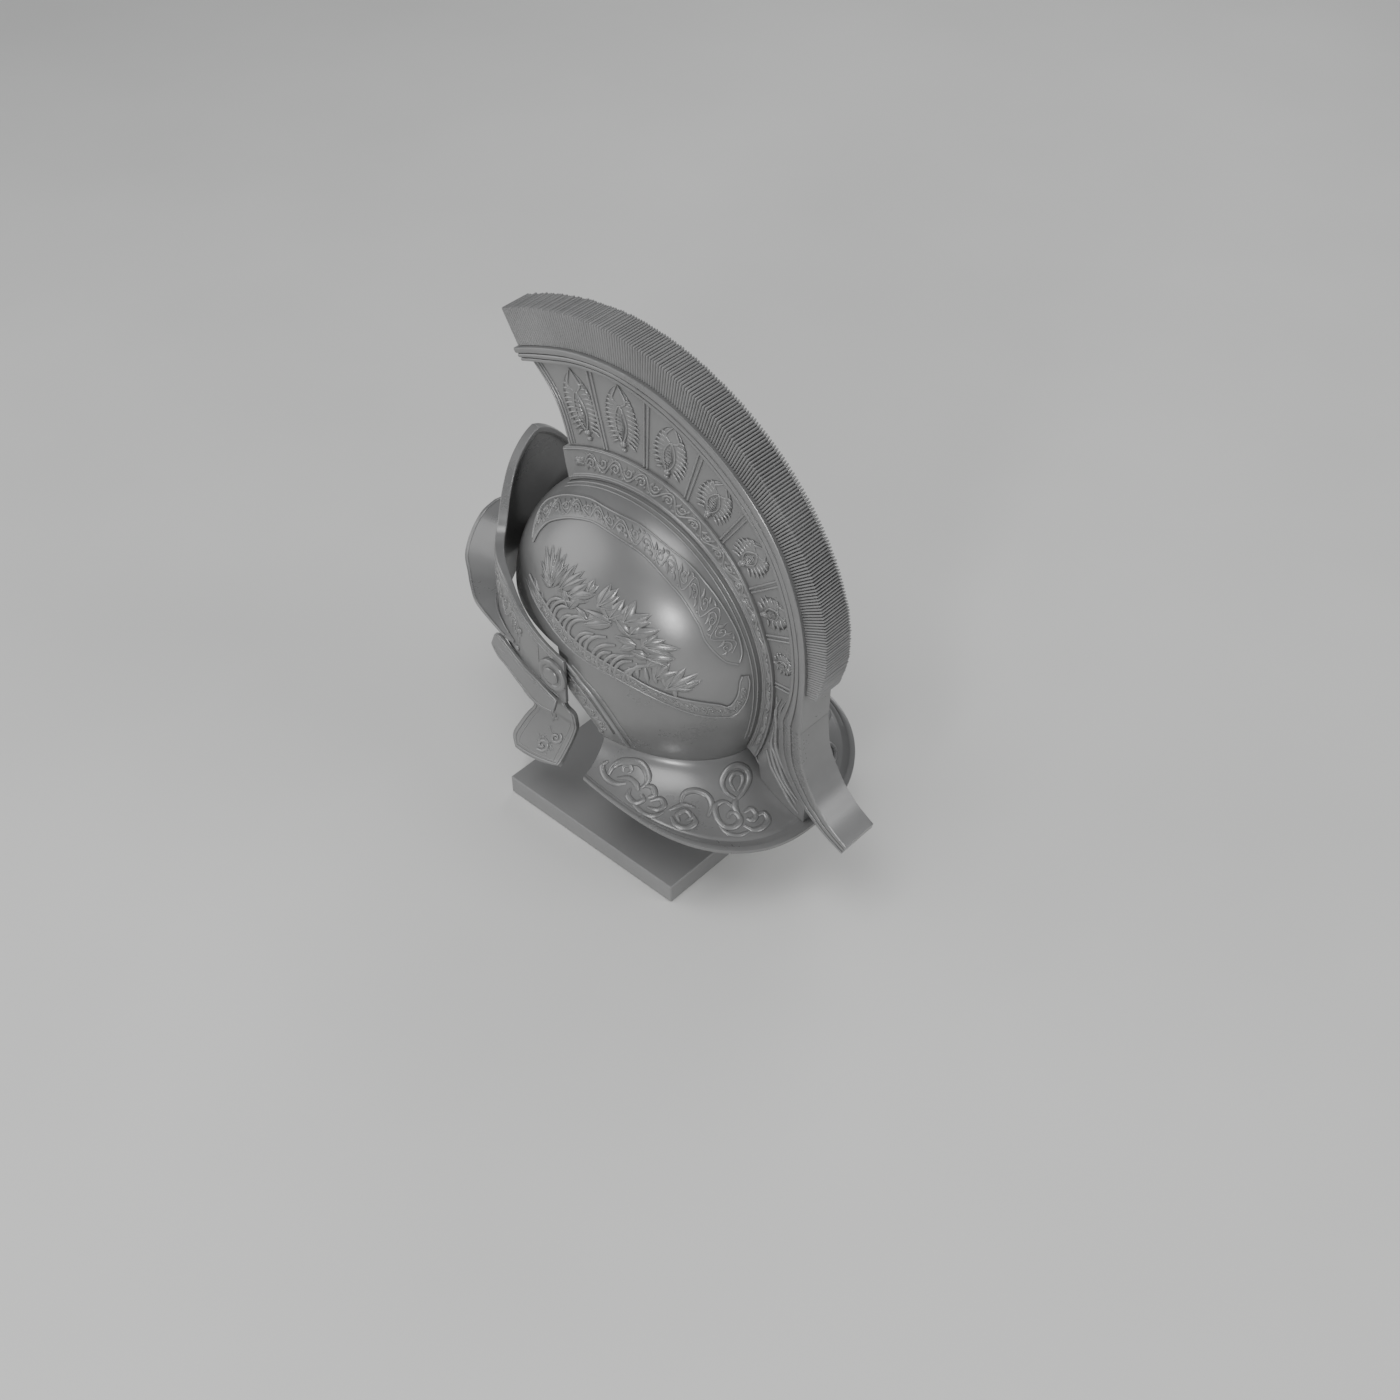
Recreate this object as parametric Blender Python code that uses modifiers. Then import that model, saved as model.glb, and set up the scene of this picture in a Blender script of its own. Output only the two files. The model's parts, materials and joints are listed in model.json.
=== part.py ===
"""Gladiator helmet with a tall brush crest, hinged cheek guards and a square plinth that it stands on.

+X is the wearer's left, -Y the front, +Z up. The origin is the middle of the plinth's bottom face.
Angles round the bowl's centre in the middle plane run from the front (0) over the top (90) to the back (180).
"""
import math

import bmesh
import bpy
import numpy as np
from mathutils import Matrix, Vector

MM = 0.001

# Clearances
GAP = 0.3 * MM                  # between neighbouring pieces
HINGE_SIDE_GAP = 0.8 * MM       # between a hinge knuckle and the lugs beside it

# Plinth and the post that holds the helmet up
PLINTH_LENGTH = 210 * MM
PLINTH_WIDTH = 210 * MM
PLINTH_HEIGHT = 20.3 * MM
PLINTH_EDGE = 0.8 * MM
POST_RADIUS = 11 * MM
POST_HEAD_RADIUS = 26 * MM
POST_HEAD_DOME = 42 * MM        # radius of the head's domed top
POST_HEAD_DEPTH = 14 * MM
POST_SIDES = 20
POST_GAP = 1.2 * MM             # below the crown's inner face

# Bowl: half an ellipsoid above its widest line and a slower taper below it
BOWL_Y = -12 * MM
BOWL_LIFT = 197 * MM            # height of its widest line above the plinth
BOWL_HALF_WIDTH = 97 * MM
BOWL_FRONT = 145 * MM
BOWL_BACK = 141 * MM
BOWL_RISE = 136 * MM
BOWL_TAPER = 173 * MM
BOWL_WALL = 3 * MM
BOWL_DEPTH = 87 * MM            # from the widest line down to the neck guard's crease
BROW_RISE = 5 * MM              # the front rim's height above the widest line
BOWL_COLUMNS = 28
BOWL_ROWS = 18

# Cast relief on the bowl
RELIEF_RISE = 1.2 * MM
LEAF_RISE = 2.2 * MM
RELIEF_ROOT = 1.6 * MM          # how deep a relief is rooted in the wall
RIM_BEAD = 3.4 * MM
RIM_RISE = 2.0 * MM

# Neck guard
NECK_STAND = 23 * MM            # how far the guard's rim stands out beyond the bowl
NECK_HALF_WIDTH = BOWL_HALF_WIDTH + NECK_STAND
NECK_BACK = 115 * MM            # from the rim's widest line to its back
NECK_FRONT = 252 * MM           # half length of the rim's front oval
NECK_Y = 84 * MM                # the rim's widest line behind the bowl's centre
NECK_DROP_SIDE = 25 * MM        # from the crease down to the rim at the sides
NECK_DROP_BACK = 45 * MM
NECK_WALL = 3 * MM
NECK_START = 16 * MM            # the guard's front end behind the bowl's centre
NECK_END_BACK = 21 * MM          # the rim's front end behind the bowl's centre
NECK_ROUNDNESS = 2.3
NECK_STEPS = 11

# Brow plate that stands up round the forehead
BROW_Y = -20 * MM
BROW_STAND = 8 * MM             # how far the plate stands out beyond the bowl
BROW_HALF_WIDTH = BOWL_HALF_WIDTH + BROW_STAND
BROW_LEAN = 4.4 * MM            # how far the top leans back over the bowl
BROW_WALL = 4 * MM
BROW_RIM = 9 * MM               # width of the thick upper rim
BROW_RIM_DEPTH = 6 * MM
BROW_SQUARENESS = 2.6
BROW_HEIGHT = 129 * MM          # from the bowl's front rim to the plate's point
BROW_STOPS = (0.0, 0.03, 0.07, 0.11, 0.15, 0.19, 0.24, 0.3, 0.37,
              0.45, 0.53, 0.6, 0.67, 0.73, 0.79, 0.85, 0.92, 1.0)
BROW_SKIRT = 52 * MM            # from the bowl's front rim down to the side panel's lower corner

# Peak over the forehead
PEAK_REACH = 56 * MM
PEAK_RISE = 19 * MM             # the peak's front above the bowl's widest line
PEAK_SAG = 37 * MM              # how far its sides hang below its front
PEAK_SLOPE = 6 * MM             # from the plate down to the rim
PEAK_WALL = 3 * MM

# Ear flanges below the brow plate
FLANGE_WALL = 4 * MM
FLANGE_LENGTH = 89 * MM
FLANGE_FRONT = 97 * MM          # its tip ahead of the brow plate's widest line
FLANGE_DROP = 46 * MM           # its rear end's upper edge below the bowl's widest line
FLANGE_HEIGHT = 24 * MM
FLANGE_FLARE = 5 * MM           # how far the lower edge stands out from the upper
FLANGE_STAND = 7 * MM          # how far the tip stands off the brow plate

# Cheek guards and their hinges
CHEEK_WALL = 4 * MM
CHEEK_DROP = 94 * MM            # from the hinge axis down to the wing's lowest rim
CHEEK_LENGTH = 77 * MM
CHEEK_FLARE = 13 * MM
CHEEK_CURL = 3 * MM             # how far the front edge bends in towards the face
CHEEK_SHOULDER = 2.7 * MM       # the shoulders below the hinge knuckle
CHEEK_TOP = 1 * MM              # the plate's top edge below the bore
CHEEK_CORNER = 0.8 * MM
CHEEK_OUT = 2 * MM              # the plate's outer face outside the hinge axis
CHEEK_COLUMNS = 6
HINGE_INSET = 9.5 * MM          # the axis inside the brow plate's outer face
HINGE_X = BROW_HALF_WIDTH - HINGE_INSET
HINGE_DROP = 49 * MM            # the axis below the bowl's widest line
HINGE_Y = -57 * MM
KNUCKLE_LENGTH = 30 * MM
KNUCKLE_RADIUS = 4.3 * MM
PIN_RADIUS = 1.8 * MM
LUG_LENGTH = 6 * MM
HINGE_SIDES = 12

# Rosettes and rivets
ROSETTE_RADIUS = 16.5 * MM
ROSETTE_BOSS = 8.5 * MM
ROSETTE_THICKNESS = 5.5 * MM
ROSETTE_SIDES = 16
ROSETTE_Y = -33 * MM
ROSETTE_DROP = 19 * MM          # its middle below the bowl's widest line
RIVET_RADIUS = 3.0 * MM
RIVET_RISE = 2.0 * MM
RIVET_SIDES = 9
RIVETS = ((-78.0, -2.0), (-84.0, 23.0))     # on the brow plate: y and drop below the widest line, in mm
EAR_RIVET_SIDE = 97.0                       # its plan angle on the bowl
EAR_RIVET_LIFT = 8.46 * MM      # above the neck guard's crease
EAR_RIVET_SINK = 0.75 * MM      # the bowl's flat facets lie inside its smooth shape there

# Crest: depths are radial, from the bowl's ridge outwards
FRIEZE_GAP = 0.6 * MM           # from the bowl's faceted ridge, which it follows in steps of its own
FRIEZE_DEPTH = 30 * MM
FRIEZE_HALF_WIDTH = 13.4 * MM
FRIEZE_FRAME = 2.4 * MM
FRIEZE_SINK = 1.2 * MM
FRIEZE_END = 0.012              # share of its length taken by each plain end
FRIEZE_PANEL = 0.0276           # share of its length where the sunk panel starts
FRIEZE_STOPS = 21
FRIEZE_LEAN = 2                 # degrees that its front end leans back at the top
FRIEZE_TOE = 3                  # and reaches forward at the bowl
WEB_DEPTH = 82 * MM
WEB_HALF_WIDTH = 10.5 * MM
RIB_WIDTH = 1.8 * MM
RIB_PITCH = 4.2 * MM
RIB_RISE = 1.2 * MM
PALMETTE_RISE = 1.8 * MM
RAIL_DEPTH = 24 * MM
RAIL_HALF_WIDTH = 19.4 * MM
BRUSH_DEPTH = 33 * MM
BRUSH_HALF_WIDTH = 15.9 * MM
BRUSH_NOTCH = 0.9 * MM
BRUSH_STRIP_COUNT = 44
TAIL_OVERHANG = 44 * MM         # the tail's tip beyond the neck guard's rim
TAIL_LIFT = 6 * MM              # its under edge above the rim
WEB_STOP = 8 * MM               # the web's rear end inside the neck guard's rim
WEB_CORNER = 2 * MM             # shortest last step of its outline
RIB_END = 1.7 * MM              # a rib's ends inside the web's edges
FLAME_MARGIN = 1.6 * MM
FLAME_WAVE = 0.7 * MM
FLAME_RIB_COUNT = 4
FLAME_PITCH = 5.6 * MM
FRIEZE_FRONT_ANGLE = 55
FRIEZE_BACK_ANGLE = 212
WEB_FRONT_ANGLE = 59.5
RAIL_FRONT_ANGLE = 58
RAIL_BACK_ANGLE = 186
BRUSH_BACK_ANGLE = 172.5
PANEL_ANGLES = (60, 76, 92, 108, 124, 141, 157, 175)


class Table:
    """Rows of sections with named columns, read smoothly between the rows by the first column."""

    def __init__(self, columns, rows):
        self.columns = columns
        self.rows = np.array(rows, float)

    def at(self, name, where):
        xs = self.rows[:, 0]
        ys = self.rows[:, self.columns.index(name)]
        where = min(max(where, xs[0]), xs[-1])
        k = min(int(np.searchsorted(xs, where, side="right")) - 1, len(xs) - 2)
        step = xs[k + 1] - xs[k]
        t = (where - xs[k]) / step
        slope = np.gradient(ys, xs)
        a, b = ys[k], ys[k + 1]
        m, n = slope[k] * step, slope[k + 1] * step
        return float(a * (1 + 2 * t) * (1 - t) ** 2 + m * t * (1 - t) ** 2
                     + b * t * t * (3 - 2 * t) + n * t * t * (t - 1))


# Depth of each band of the crest, as shares of its named depth
CREST = Table(("angle", "frieze", "web", "rail", "brush"), (
    (55, 1.00, 1.01, 0.52, 1.07),
    (65, 0.99, 0.95, 0.63, 1.05),
    (75, 0.99, 0.94, 0.63, 0.98),
    (85, 0.99, 0.91, 0.67, 0.92),
    (95, 0.99, 0.83, 0.82, 0.83),
    (105, 0.97, 0.75, 0.87, 0.78),
    (115, 0.89, 0.69, 0.90, 0.73),
    (125, 0.80, 0.63, 0.90, 0.69),
    (135, 0.71, 0.56, 0.87, 0.69),
    (145, 0.58, 0.48, 0.84, 0.74),
    (155, 0.47, 0.40, 0.79, 0.73),
    (165, 0.44, 0.31, 0.73, 0.58),
    (173, 0.41, 0.25, 0.73, 0.32),
    (186, 0.40, 0.11, 1.12, 0.22),
    (212, 0.39, 0.11, 1.12, 0.08),
))

# The tail's under edge below the crest: shares of its run back, its fall and the rail's depth
TAIL = Table(("step", "run", "fall", "depth"), (
    (0.0, 0.00, 0.00, 1.12),
    (1.0, 0.06, 0.42, 1.17),
    (2.0, 0.34, 0.74, 1.00),
    (3.0, 0.66, 0.91, 0.72),
    (4.0, 1.00, 1.00, 0.42),
))

# Half of the rail's stepped moulding, from its under edge to its top
RAIL_SECTION = (
    # half width at the crest, half width at the tail's tip, depth
    (0.80, 1.08, 0.00),
    (0.89, 1.08, 0.16),
    (0.89, 1.06, 0.42),
    (0.94, 1.03, 0.50),
    (0.94, 1.02, 0.76),
    (1.00, 1.00, 0.82),
    (1.00, 1.00, 1.00),
)

# Brow plate from its middle (0) to its rear end (1): heights as shares of BROW_HEIGHT and BROW_SKIRT
BROW = Table(("share", "top", "skirt", "rim"), (
    (0.00, 1.00, 0.00, 1.00),
    (0.05, 0.94, 0.04, 1.00),
    (0.10, 0.87, 0.15, 1.00),
    (0.15, 0.79, 0.35, 1.00),
    (0.22, 0.64, 0.48, 1.00),
    (0.30, 0.45, 0.50, 1.00),
    (0.40, 0.38, 0.50, 1.00),
    (0.50, 0.36, 0.52, 0.95),
    (0.62, 0.33, 0.62, 0.85),
    (0.68, 0.30, 0.69, 0.76),
    (0.75, 0.22, 0.75, 0.66),
    (0.83, 0.125, 0.81, 0.58),
    (0.91, 0.055, 0.90, 0.46),
    (1.00, -0.02, 1.00, 0.46),
))

# Peak from its middle (0) to its ends (1): reach and sag as shares
PEAK = Table(("share", "reach", "sag"), (
    (0.00, 1.00, 0.00),
    (0.05, 1.00, 0.12),
    (0.10, 1.00, 0.46),
    (0.15, 0.95, 0.82),
    (0.22, 0.72, 1.00),
    (0.30, 0.54, 1.02),
    (0.40, 0.39, 0.98),
    (0.50, 0.24, 0.97),
    (0.62, 0.14, 0.93),
    (0.68, 0.09, 0.98),
    (0.74, 0.02, 1.01),
))

# Ear flange from its tip (0) to its rear end (1): drop of its upper edge, height and stand-off as shares
FLANGE = Table(("share", "drop", "height", "stand"), (
    (0.00, 0.57, 0.33, 1.00),
    (0.10, 0.46, 0.83, 0.72),
    (0.25, 0.55, 0.80, 0.36),
    (0.45, 0.69, 0.85, 0.09),
    (0.65, 0.785, 0.96, 0.00),
    (0.85, 0.90, 0.80, 0.00),
    (1.00, 1.00, 0.46, 0.00),
))

# Cheek guard below its hinge: edges and drops as shares of CHEEK_LENGTH and CHEEK_DROP
CHEEK = (
    # front edge, front drop, rear edge, rear drop, flare
    (0.455, 0.149, 0.390, 0.128, 0.04),
    (0.416, 0.245, 0.494, 0.181, 0.00),
    (0.350, 0.340, 0.506, 0.287, -0.08),
    (0.234, 0.426, 0.480, 0.394, -0.23),
    (0.325, 0.564, 0.442, 0.543, 0.04),
    (0.430, 0.734, 0.403, 0.670, 0.38),
    (0.494, 0.883, 0.364, 0.787, 0.73),
    (0.416, 1.000, 0.338, 0.840, 1.00),
)

# Scroll band high on the bowl: its two borders as plan angle and height angle in degrees
SCROLL_BAND = (
    # high side, high lift, low side, low lift
    (46.0, 31.5, 48.0, 31.0),
    (29.0, 40.0, 47.0, 37.5),
    (29.0, 48.0, 49.0, 44.5),
    (39.0, 58.5, 60.5, 54.0),
    (60.5, 66.5, 80.0, 59.5),
    (111.5, 68.5, 115.0, 56.5),
    (144.5, 57.5, 136.0, 44.5),
    (157.0, 45.0, 144.5, 32.5),
    (163.5, 29.5, 147.0, 25.0),
    (164.0, 20.0, 154.0, 17.5),
    (161.5, 15.5, 160.5, 15.0),
)

# Narrow band low on the bowl
LOW_BAND = (
    # high side, high lift, low side, low lift
    (57.0, 20.5, 61.0, 14.5),
    (72.0, 16.9, 73.0, 10.8),
    (90.0, 10.9, 89.0, 5.6),
    (112.0, 7.2, 110.0, 3.0),
    (122.0, 4.2, 128.0, -1.7),
    (134.0, 1.3, 142.0, -5.3),
    (149.0, -1.0, 152.0, -6.6),
    (155.0, -2.5, 158.0, -6.6),
    (159.0, 1.0, 163.5, -2.0),
    (160.5, 7.0, 165.5, 5.5),
)

# Leaves of the spray on the bowl's side: root and tip as plan and height angles, and width in degrees
SPRAY_LEAVES = (
    # root side, root lift, tip side, tip lift, half width
    (63.0, 26.0, 54.5, 32.5, 3.4),
    (67.0, 28.0, 61.0, 38.0, 3.6),
    (72.0, 28.0, 70.5, 38.0, 3.6),
    (80.0, 27.0, 83.0, 36.5, 3.8),
    (91.0, 25.0, 96.5, 35.5, 3.8),
    (99.0, 26.0, 106.5, 38.0, 3.8),
    (107.0, 24.0, 116.0, 33.5, 3.8),
    (115.0, 22.0, 125.0, 31.0, 3.6),
    (120.0, 19.0, 133.0, 26.0, 3.4),
    (120.0, 14.0, 138.0, 18.0, 3.2),
    (126.0, 8.0, 142.0, 11.5, 3.0),
)

# Curved stems below the leaves: where they leave the low band and where they end
SPRAY_STEMS = (
    # foot side, foot lift, head side, head lift
    (69.0, 17.0, 66.0, 27.5),
    (79.0, 13.8, 76.5, 27.0),
    (89.0, 10.4, 89.0, 25.5),
    (99.0, 8.6, 101.0, 24.0),
    (110.0, 6.8, 113.0, 20.0),
)

# Side view of the face opening's edge: places behind and heights above the bowl's centre, in mm
FACE_EDGE = (
    # behind the centre, above the centre
    (-24.0, 4.0),
    (-15.0, -41.0),
    (-3.0, -54.0),
    (6.0, -65.0),
    (12.5, -78.0),
    (16.0, -90.0),
)

# Neck guard from the crease (0) to the rim (1), and the rise of the rim's bead in mm
NECK_ROWS = (
    # place, rise
    (0.00, 0.0),
    (0.15, 0.0),
    (0.35, 0.0),
    (0.60, 0.0),
    (0.80, 0.0),
    (0.95, 0.0),
    (0.965, 1.2),
    (1.00, 1.2),
)

# The raised rim round the ear, as plan and height angles on the bowl
EAR_RIM = (
    # side, lift
    (84.5, -2.6),
    (91.0, -5.6),
    (97.5, -9.8),
    (103.0, -16.5),
    (107.0, -23.0),
    (110.5, -29.0),
)

# Half outline of a palmette, from its knob to its tip
PALMETTE = (
    # length, half width
    (0.00, 0.12),
    (0.06, 0.24),
    (0.14, 0.16),
    (0.20, 0.50),
    (0.34, 0.90),
    (0.50, 1.00),
    (0.75, 0.56),
    (1.00, 0.04),
)


# Scene, materials and mesh helpers

def clear_scene():
    for obj in list(bpy.data.objects):
        bpy.data.objects.remove(obj, do_unlink=True)
    for group in list(bpy.data.collections):
        bpy.data.collections.remove(group)


def collection(name):
    group = bpy.data.collections.new(name)
    bpy.context.scene.collection.children.link(group)
    return group


def material(name, colour, roughness, metallic):
    mat = bpy.data.materials.new(name)
    mat.use_nodes = True
    mat.diffuse_color = (*colour, 1.0)
    shader = mat.node_tree.nodes["Principled BSDF"]
    shader.inputs["Base Color"].default_value = (*colour, 1.0)
    shader.inputs["Roughness"].default_value = roughness
    shader.inputs["Metallic"].default_value = metallic
    return mat


def mesh_object(bm, name, group, mat=None, smooth=35):
    """A new object from a bmesh, shaded smooth below the given angle."""
    bmesh.ops.recalc_face_normals(bm, faces=bm.faces)
    mesh = bpy.data.meshes.new(name)
    bm.to_mesh(mesh)
    bm.free()
    obj = bpy.data.objects.new(name, mesh)
    group.objects.link(obj)
    if mat:
        mesh.materials.append(mat)
    mesh.shade_smooth()
    mesh.set_sharp_from_angle(angle=math.radians(smooth))
    return obj


def loft(rings):
    """A closed body through rings of equally many points, with flat ends."""
    bm = bmesh.new()
    loops = [[bm.verts.new(point) for point in ring] for ring in rings]
    count = len(loops[0])
    for near, far in zip(loops, loops[1:]):
        for i in range(count):
            j = (i + 1) % count
            bm.faces.new((near[i], near[j], far[j], far[i]))
    bm.faces.new(loops[0])
    bm.faces.new(loops[-1])
    return bm


def sheet(rows):
    """An open surface through rows of equally many points."""
    bm = bmesh.new()
    lines = [[bm.verts.new(point) for point in row] for row in rows]
    for near, far in zip(lines, lines[1:]):
        for i in range(len(near) - 1):
            bm.faces.new((near[i], near[i + 1], far[i + 1], far[i]))
    return bm


def prism(outline, half_thickness):
    """A side view outline of (y, z) points, thick across the middle plane."""
    rings = [[Vector((x, y, z)) for y, z in outline] for x in (-half_thickness, half_thickness)]
    return loft(rings)


def solidify(obj, thickness, offset):
    mod = obj.modifiers.new("Wall", "SOLIDIFY")
    mod.thickness = thickness
    mod.offset = offset
    mod.use_even_offset = True
    mod.use_quality_normals = True
    return mod


def bevel(obj, width, segments=1):
    mod = obj.modifiers.new("Edge", "BEVEL")
    mod.width = width
    mod.segments = segments
    mod.limit_method = "ANGLE"
    mod.angle_limit = math.radians(40)
    return mod


def boolean(obj, other, operation):
    """Cut or join with one object or with every object of a collection."""
    mod = obj.modifiers.new(operation.title(), "BOOLEAN")
    mod.operation = operation
    mod.solver = "EXACT"
    if isinstance(other, bpy.types.Collection):
        mod.operand_type = "COLLECTION"
        mod.collection = other
    else:
        mod.object = other
    return mod


def guide(obj):
    obj.hide_render = True
    obj.display_type = "WIRE"
    return obj


def mirrored(obj, name, group):
    """A copy of a piece on the other side of the middle plane."""
    twin = obj.copy()
    twin.data = obj.data.copy()
    twin.name = name
    twin.data.name = name
    twin.data.transform(Matrix.Scale(-1, 4, Vector((1, 0, 0))))
    twin.data.flip_normals()
    twin.location = (-obj.location.x, obj.location.y, obj.location.z)
    group.objects.link(twin)
    return twin


# Shape of the bowl

def bowl_centre():
    return Vector((0, BOWL_Y, PLINTH_HEIGHT + BOWL_LIFT))


def bowl_place(side, lift, out=0.0):
    """Point and outward normal on the bowl at a plan angle from the front and a height angle, in degrees."""
    a, e = math.radians(side), math.radians(lift)
    unit = Vector((math.sin(a) * math.cos(e), -math.cos(a) * math.cos(e), math.sin(e)))
    half = Vector((BOWL_HALF_WIDTH, BOWL_FRONT if unit.y < 0 else BOWL_BACK,
                   BOWL_RISE if unit.z > 0 else BOWL_TAPER))
    normal = Vector(u / h for u, h in zip(unit, half)).normalized()
    point = Vector(u * h for u, h in zip(unit, half)) + bowl_centre()
    return point + normal * out, normal


def ridge_radius(angle):
    """Distance from the bowl's centre to its ridge in the middle plane."""
    c, s = math.cos(math.radians(angle)), math.sin(math.radians(angle))
    length = BOWL_FRONT if c > 0 else BOWL_BACK
    height = BOWL_RISE if s > 0 else BOWL_TAPER
    return 1 / math.hypot(c / length, s / height)


def polar(angle, radius):
    """(y, z) in the middle plane."""
    centre = bowl_centre()
    a = math.radians(angle)
    return centre.y - radius * math.cos(a), centre.z + radius * math.sin(a)


def crease_plan(angle):
    """(x, y) where the bowl meets the neck guard, at an angle from the side (0) to the back (90)."""
    taper = math.sqrt(1 - (BOWL_DEPTH / BOWL_TAPER) ** 2)
    a = math.radians(angle)
    return BOWL_HALF_WIDTH * taper * math.cos(a), BOWL_Y + BOWL_BACK * taper * math.sin(a)


def crease_height():
    return bowl_centre().z - BOWL_DEPTH


# Plinth and post

def build_plinth(group, mat):
    bm = bmesh.new()
    bmesh.ops.create_cube(bm, size=1.0)
    size = Vector((PLINTH_WIDTH, PLINTH_LENGTH, PLINTH_HEIGHT))
    bmesh.ops.scale(bm, vec=size, verts=bm.verts)
    obj = mesh_object(bm, "plinth", group, mat, smooth=30)
    obj.location = (0, 0, PLINTH_HEIGHT / 2)
    bevel(obj, PLINTH_EDGE)
    return obj


def build_post(group, mat):
    """A turned post from the plinth to the inside of the crown."""
    top = PLINTH_HEIGHT + BOWL_LIFT + BOWL_RISE - BOWL_WALL - POST_GAP
    foot = PLINTH_HEIGHT + GAP
    steps = 4
    profile = [(0.0, top)]
    for i in range(1, steps + 1):
        radius = POST_HEAD_RADIUS * i / steps
        profile.append((radius, top - POST_HEAD_DOME + math.sqrt(POST_HEAD_DOME ** 2 - radius ** 2)))
    profile += [(POST_RADIUS, profile[-1][1] - POST_HEAD_DEPTH), (POST_RADIUS, foot), (0.0, foot)]
    obj = turned(profile, "post", group, mat, POST_SIDES)
    obj.location = (0, BOWL_Y, 0)
    return obj


# Bowl with its cast relief

def bowl_patch(rows, rise, name, group):
    """A raised band between two borders on the bowl."""
    def ring(row):
        high = [bowl_place(row[0], row[1], out)[0] for out in (rise, -RELIEF_ROOT)]
        low = [bowl_place(row[2], row[3], out)[0] for out in (-RELIEF_ROOT, rise)]
        middle = ((row[0] + row[2]) / 2, (row[1] + row[3]) / 2)
        under, over = (bowl_place(*middle, out)[0] for out in (-RELIEF_ROOT, rise))
        return [high[0], high[1], under, low[0], low[1], over]
    bm = loft([ring(row) for row in rows])
    return guide(mesh_object(bm, name, group))


def bowl_strip(path, widths, rise, name, group):
    """A raised strip along a path on the bowl; a width for each point, in degrees or as one length."""
    rings = []
    for i, (side, lift) in enumerate(path):
        ahead = path[min(i + 1, len(path) - 1)]
        behind = path[max(i - 1, 0)]
        point, normal = bowl_place(side, lift)
        way = bowl_place(*ahead)[0] - bowl_place(*behind)[0]
        across = way.cross(normal).normalized() * widths[i] / 2
        rings.append([point + normal * rise - across * 0.7, point - normal * RELIEF_ROOT - across,
                      point - normal * RELIEF_ROOT + across, point + normal * rise + across * 0.7])
    return guide(mesh_object(loft(rings), name, group))


def spray_leaf(row, name, group):
    """One pointed leaf lying on the bowl."""
    side, lift, tip_side, tip_lift, half = row
    shares = (0.0, 0.35, 0.7, 1.0)
    widths = (0.5, 1.0, 0.8, 0.08)
    path = [(side + (tip_side - side) * s, lift + (tip_lift - lift) * s) for s in shares]
    scale = 2 * math.radians(half) * BOWL_RISE
    return bowl_strip(path, [w * scale for w in widths], LEAF_RISE, name, group)


def spray_stem(row, name, group):
    side, lift, head_side, head_lift = row
    path = []
    for s in (0.0, 0.5, 1.0):
        bend = 1.6 * math.sin(math.pi * s)
        path.append((side + (head_side - side) * s - bend, lift + (head_lift - lift) * s))
    return bowl_strip(path, [RIM_BEAD * 0.8] * len(path), RELIEF_RISE, name, group)


def add_both_sides(make, rows, name, relief):
    """Relief pieces on the left, and their twins on the right."""
    for i, row in enumerate(rows):
        left = make(row, f"{name}_{i}_left", relief)
        guide(mirrored(left, f"{name}_{i}_right", relief))


def build_bowl(group, cutters, mat):
    bm = bmesh.new()
    bmesh.ops.create_uvsphere(bm, u_segments=BOWL_COLUMNS, v_segments=BOWL_ROWS, radius=1.0)
    for vert in bm.verts:
        x, y, z = vert.co
        vert.co = bowl_centre() + Vector((x * BOWL_HALF_WIDTH,
                                          y * (BOWL_FRONT if y < 0 else BOWL_BACK),
                                          z * (BOWL_RISE if z > 0 else BOWL_TAPER)))
    bmesh.ops.bisect_plane(bm, geom=bm.verts[:] + bm.edges[:] + bm.faces[:],
                           plane_co=(0, 0, crease_height()), plane_no=(0, 0, 1), clear_inner=True)
    obj = mesh_object(bm, "bowl", group, mat)
    solidify(obj, BOWL_WALL, -1.0)

    centre = bowl_centre()
    reach = BOWL_FRONT + BOWL_BACK
    edge = [(centre.y + y * MM, centre.z + z * MM) for y, z in FACE_EDGE]
    outline = [(centre.y - reach, centre.z + BROW_RISE)]
    outline.append((edge[0][0], centre.z + BROW_RISE))
    outline += edge[1:]
    outline += [(edge[-1][0], centre.z - reach), (centre.y - reach, centre.z - reach)]
    face = guide(mesh_object(prism(outline, BOWL_HALF_WIDTH * 1.5), "face_opening", cutters))
    boolean(obj, face, "DIFFERENCE")

    relief = bpy.data.collections.new("bowl_relief")
    cutters.children.link(relief)
    for i, (rows, name) in enumerate(((SCROLL_BAND, "scroll_band"), (LOW_BAND, "low_band"))):
        left = bowl_patch(rows, RELIEF_RISE, f"{name}_left", relief)
        guide(mirrored(left, f"{name}_right", relief))
    left = bowl_strip(EAR_RIM, [RIM_BEAD] * len(EAR_RIM), RIM_RISE, "ear_rim_left", relief)
    guide(mirrored(left, "ear_rim_right", relief))
    add_both_sides(spray_leaf, SPRAY_LEAVES, "leaf", relief)
    add_both_sides(spray_stem, SPRAY_STEMS, "stem", relief)
    boolean(obj, relief, "UNION")
    return obj


# Neck guard

def neck_rim(share):
    """The rim's plan point and height, from its front end (0) to the middle of the back (1)."""
    y0 = BOWL_Y + NECK_Y
    start = math.asin((BOWL_Y + NECK_END_BACK - y0) / NECK_FRONT)
    a = start + (math.pi / 2 - start) * share
    c, s = math.cos(a), math.sin(a)
    power = 2 / NECK_ROUNDNESS
    x = NECK_HALF_WIDTH * (c if s < 0 else max(c, 0.0) ** power)
    y = y0 + (NECK_FRONT * s if s < 0 else NECK_BACK * s ** power)
    drop = NECK_DROP_SIDE + (NECK_DROP_BACK - NECK_DROP_SIDE) * max(s, 0.0) ** 2
    return Vector((x, y, crease_height() - drop))


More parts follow.
